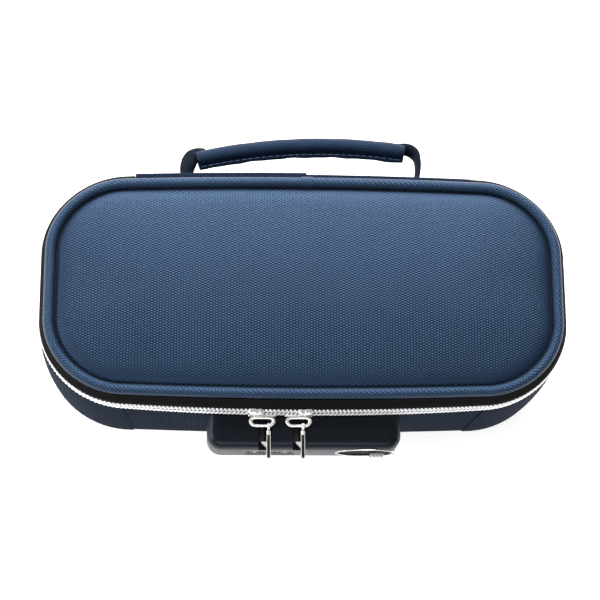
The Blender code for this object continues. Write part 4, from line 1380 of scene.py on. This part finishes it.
def strap(points, widths, thick, faces):
    """Webbing along a line; faces is the angle in degrees of its face from level at each point."""
    rows = []
    for index, point in enumerate(points):
        before = points[max(index - 1, 0)]
        after = points[min(index + 1, len(points) - 1)]
        tangent = (after - before).normalized()
        side = tangent.cross(Vector((0, 0, 1))).normalized()
        top = side.cross(tangent).normalized()
        turn = math.radians(faces[index])
        wide = side * math.cos(turn) + top * math.sin(turn)
        flat = top * math.cos(turn) - side * math.sin(turn)
        row = []
        for step in range(20):
            angle = 2 * math.pi * step / 20
            reach = math.copysign(abs(math.cos(angle)) ** 0.35, math.cos(angle)) * widths[index] / 2
            rise = math.copysign(abs(math.sin(angle)) ** 0.6, math.sin(angle)) * thick / 2
            bow = 0.12 * widths[index] * (reach / (widths[index] / 2)) ** 2
            row.append(point + wide * reach + flat * (rise - bow))
        rows.append(row)
    return skin(rows)


LEG_STEPS = 28
legs = {
    "left": (
        [(-57.0, 61.6, 42), (-56.6, 70.5, 43.5), (-57.2, 77.6, 43), (-48.5, 76.4, 42)],
        [(0.0, 8.0, 88), (0.25, 8.0, 35), (0.45, 8.0, 12), (1.0, 7.4, 0)],
    ),
    "right": (
        [(57.4, 61.6, 42), (58.6, 70.5, 42), (60.8, 81.2, 43.5), (48.5, 80.4, 42)],
        [(0.0, 8.0, 92), (0.45, 8.0, 84), (0.75, 7.2, 55), (1.0, 6.0, 30)],
    ),
}
for name, (corners, twist) in legs.items():
    line = bezier([Vector(corner) * MM for corner in corners], LEG_STEPS)
    widths = []
    faces = []
    for index in range(LEG_STEPS + 1):
        share = index / LEG_STEPS
        place = max(k for k in range(len(twist) - 1) if twist[k][0] <= share)
        first, second = twist[place], twist[place + 1]
        part = (share - first[0]) / (second[0] - first[0])
        smooth = part * part * (3 - 2 * part)
        widths.append((first[1] + (second[1] - first[1]) * smooth) * MM)
        side_sign = -1 if name == "left" else 1
        faces.append(side_sign * (first[2] + (second[2] - first[2]) * smooth))
    leg = show(f"webbing_{name}", strap(line, widths, 2.0 * MM, faces), webbing_material)
    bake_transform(leg)
    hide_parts(f"handle_leg_{name}")

# ---------------------------------------------------------------- grip
# A foam core rolled in the lid's cloth, whose edges meet in a flat seam along the side towards the
# bag, sewn with two rows of stitches. Both ends are left open round the webbing.

GRIP_HALF = 52 * MM
GRIP_RISE = 5.1 * MM
GRIP_TILT = 2.5 * MM
GRIP_ROLL = 4.2 * MM
GRIP_CENTRE = 0.6 * MM
GRIP_SHIFT = 1.5 * MM
LIP_OUT = 5.1 * MM
LIP_THICK = 1.9 * MM


def grip_spot(x):
    share = x / GRIP_HALF
    return grip_middle_y - GRIP_RISE * share * share + GRIP_TILT * share


grip_middle_y = patch_high_y + 1.5 * MM + 18 * MM + GRIP_SHIFT
GRIP_LEVEL = HANDLE_Z
ROLL_TALL = 1.15


def grip_section(share):
    """The roll with its flat seam lip towards the bag; (out, up) points, slacker at the ends."""
    end = max(0.0, (abs(share) - 0.93) / 0.07)
    roll = GRIP_ROLL * (1 - 0.12 * end * end)
    points = arc((GRIP_CENTRE, 0), roll, -140, 140, 22)
    lip = LIP_OUT - 0.5 * MM * end
    points += [
        (-lip + 1.6 * MM, LIP_THICK * 0.62),
        (-lip + 0.5 * MM, LIP_THICK * 0.55),
        (-lip, LIP_THICK * 0.25),
        (-lip, -LIP_THICK * 0.25),
        (-lip + 0.5 * MM, -LIP_THICK * 0.55),
        (-lip + 1.6 * MM, -LIP_THICK * 0.62),
    ]
    return points


grip_rows = []
grip_steps = 104
for index in range(grip_steps + 1):
    share = 2 * index / grip_steps - 1
    x = GRIP_HALF * share
    slope = -2 * GRIP_RISE * share / GRIP_HALF + GRIP_TILT / GRIP_HALF
    away = Vector((-slope, 1, 0)).normalized()
    ripple = 0.12 * MM * math.sin(x / (3.1 * MM)) + 0.08 * MM * math.sin(x / (1.7 * MM) + 1)
    row = []
    for out, up in grip_section(share):
        soft = 1 + ripple / GRIP_ROLL * (1 if out < 0 else 0.4)
        middle = Vector((x, grip_spot(x), GRIP_LEVEL))
        row.append(middle + away * out * soft + Vector((0, 0, up * ROLL_TALL * soft)))
    grip_rows.append(row)
GRIP_FINISH = {**COATED, "Roughness": 0.6, "Specular IOR Level": 0.3}
# The near-black second colour is painted shade between the floats.
grip_material = cloth(
    "coated_oxford_grip", "1e2d44", "010203", GRIP_FINISH, BIAS_CELL, turn=math.radians(8), depth=0.26 * MM
)
grip = show("grip_roll", skin(grip_rows), grip_material)
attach(grip, "handle")
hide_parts("grip_cover")
seams = []
for out, up in ((-LIP_OUT + 1.1 * MM, 1), (-LIP_OUT + 2.3 * MM, 1), (-LIP_OUT + 1.1 * MM, -1)):
    line = []
    for index in range(61):
        x = (GRIP_HALF - 2.2 * MM) * (2 * index / 60 - 1)
        line.append(Vector((x, grip_spot(x) + out, GRIP_LEVEL + up * LIP_THICK * 0.66)))
    seams.append((line, up))
for index, (line, up) in enumerate(seams):
    seam = show(f"grip_stitches_{index + 1}", stitches([line], (0, 0, up)), thread_material)
    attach(seam, "handle")

# The foam core inside the roll, cut square 3 mm short of the cloth at both ends.
CORE_ROLL = 3.3 * MM
core_rows = []
for index in range(61):
    x = (GRIP_HALF - 3 * MM) * (2 * index / 60 - 1)
    middle = Vector((x, grip_spot(x), GRIP_LEVEL))
    core_section = arc((GRIP_CENTRE, 0), CORE_ROLL, 0, 345, 24)
    core_rows.append([middle + Vector((0, out, up * ROLL_TALL)) for out, up in core_section])
grip_foam = show("grip_foam", skin(core_rows), foam_material)
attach(grip_foam, "handle")
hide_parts("grip_core")

# ---------------------------------------------------------------- table and light
# A white table and a large soft light above and behind, as in a packshot.

CAMERA_UP = math.radians(74.77)
CAMERA_TURN = math.radians(-10.84)
CAMERA_ROLL = math.radians(10.94)
CAMERA_AWAY = 0.82803
CAMERA_AIM = Vector((-0.00075, 0.00193, 0.040))
CAMERA_LENS = 100.68
back = Vector(
    (
        math.sin(CAMERA_TURN) * math.cos(CAMERA_UP),
        -math.cos(CAMERA_TURN) * math.cos(CAMERA_UP),
        math.sin(CAMERA_UP),
    )
)
right = (-back).cross(Vector((0, 0, 1))).normalized()
up = right.cross(-back)
rolled_right = math.cos(CAMERA_ROLL) * right + math.sin(CAMERA_ROLL) * up
rolled_up = -math.sin(CAMERA_ROLL) * right + math.cos(CAMERA_ROLL) * up
camera_data = bpy.data.cameras.new("camera")
camera_data.lens = CAMERA_LENS
camera_data.sensor_width = 36
camera = bpy.data.objects.new("camera", camera_data)
bpy.context.scene.collection.objects.link(camera)
camera.matrix_world = Matrix.Translation(CAMERA_AIM + back * CAMERA_AWAY) @ Matrix(
    (rolled_right, rolled_up, back)
).transposed().to_4x4()
bpy.context.scene.camera = camera

# Opal acrylic lit evenly from below, as on a packshot table, so that no hard shadow falls.
table_material = new_material(
    "opal_acrylic_table",
    "f4f4f4",
    {"Roughness": 0.9, "IOR": 1.49, "Emission Color": (1.0, 1.0, 1.0, 1.0), "Emission Strength": 0.58},
)
table_place = add_node(table_material, "TexCoord").outputs["Object"]
table_grain = add_node(table_material, "TexNoise", {"Vector": table_place, "Scale": 400.0, "Detail": 2.0})
surface(table_material, height=table_grain.outputs[0], depth=0.02 * MM)
table_shape = bmesh.new()
bmesh.ops.create_grid(table_shape, x_segments=4, y_segments=4, size=3.0)
table_mesh = bpy.data.meshes.new("table")
table_shape.to_mesh(table_mesh)
table_shape.free()
table_mesh.materials.append(table_material)
table = bpy.data.objects.new("table", table_mesh)
bpy.context.scene.collection.objects.link(table)
table.location.z = -0.0005

world = bpy.data.worlds.new("studio")
world.use_nodes = True
world.node_tree.nodes["Background"].inputs["Color"].default_value = (1.0, 1.0, 1.0, 1.0)
world.node_tree.nodes["Background"].inputs["Strength"].default_value = 0.38
bpy.context.scene.world = world
bpy.context.scene.view_settings.view_transform = "Standard"


def soft_light(name, place, aim, size, power):
    data = bpy.data.lights.new(name, "AREA")
    data.shape = "RECTANGLE"
    data.size, data.size_y = size
    data.energy = power
    made = bpy.data.objects.new(name, data)
    bpy.context.scene.collection.objects.link(made)
    made.location = place
    made.rotation_mode = "QUATERNION"
    made.rotation_quaternion = (Vector(aim) - Vector(place)).to_track_quat("-Z", "Y")


soft_light("back_softbox", (0.0, 0.82, 0.72), (0, 0.02, 0.05), (1.2, 0.6), 30.0)
soft_light("left_softbox", (-1.0, -0.1, 0.5), (0, 0, 0.05), (0.6, 0.6), 7.5)
soft_light("front_softbox", (-0.15, -0.75, 0.75), (0, -0.05, 0.05), (0.8, 0.3), 3.0)
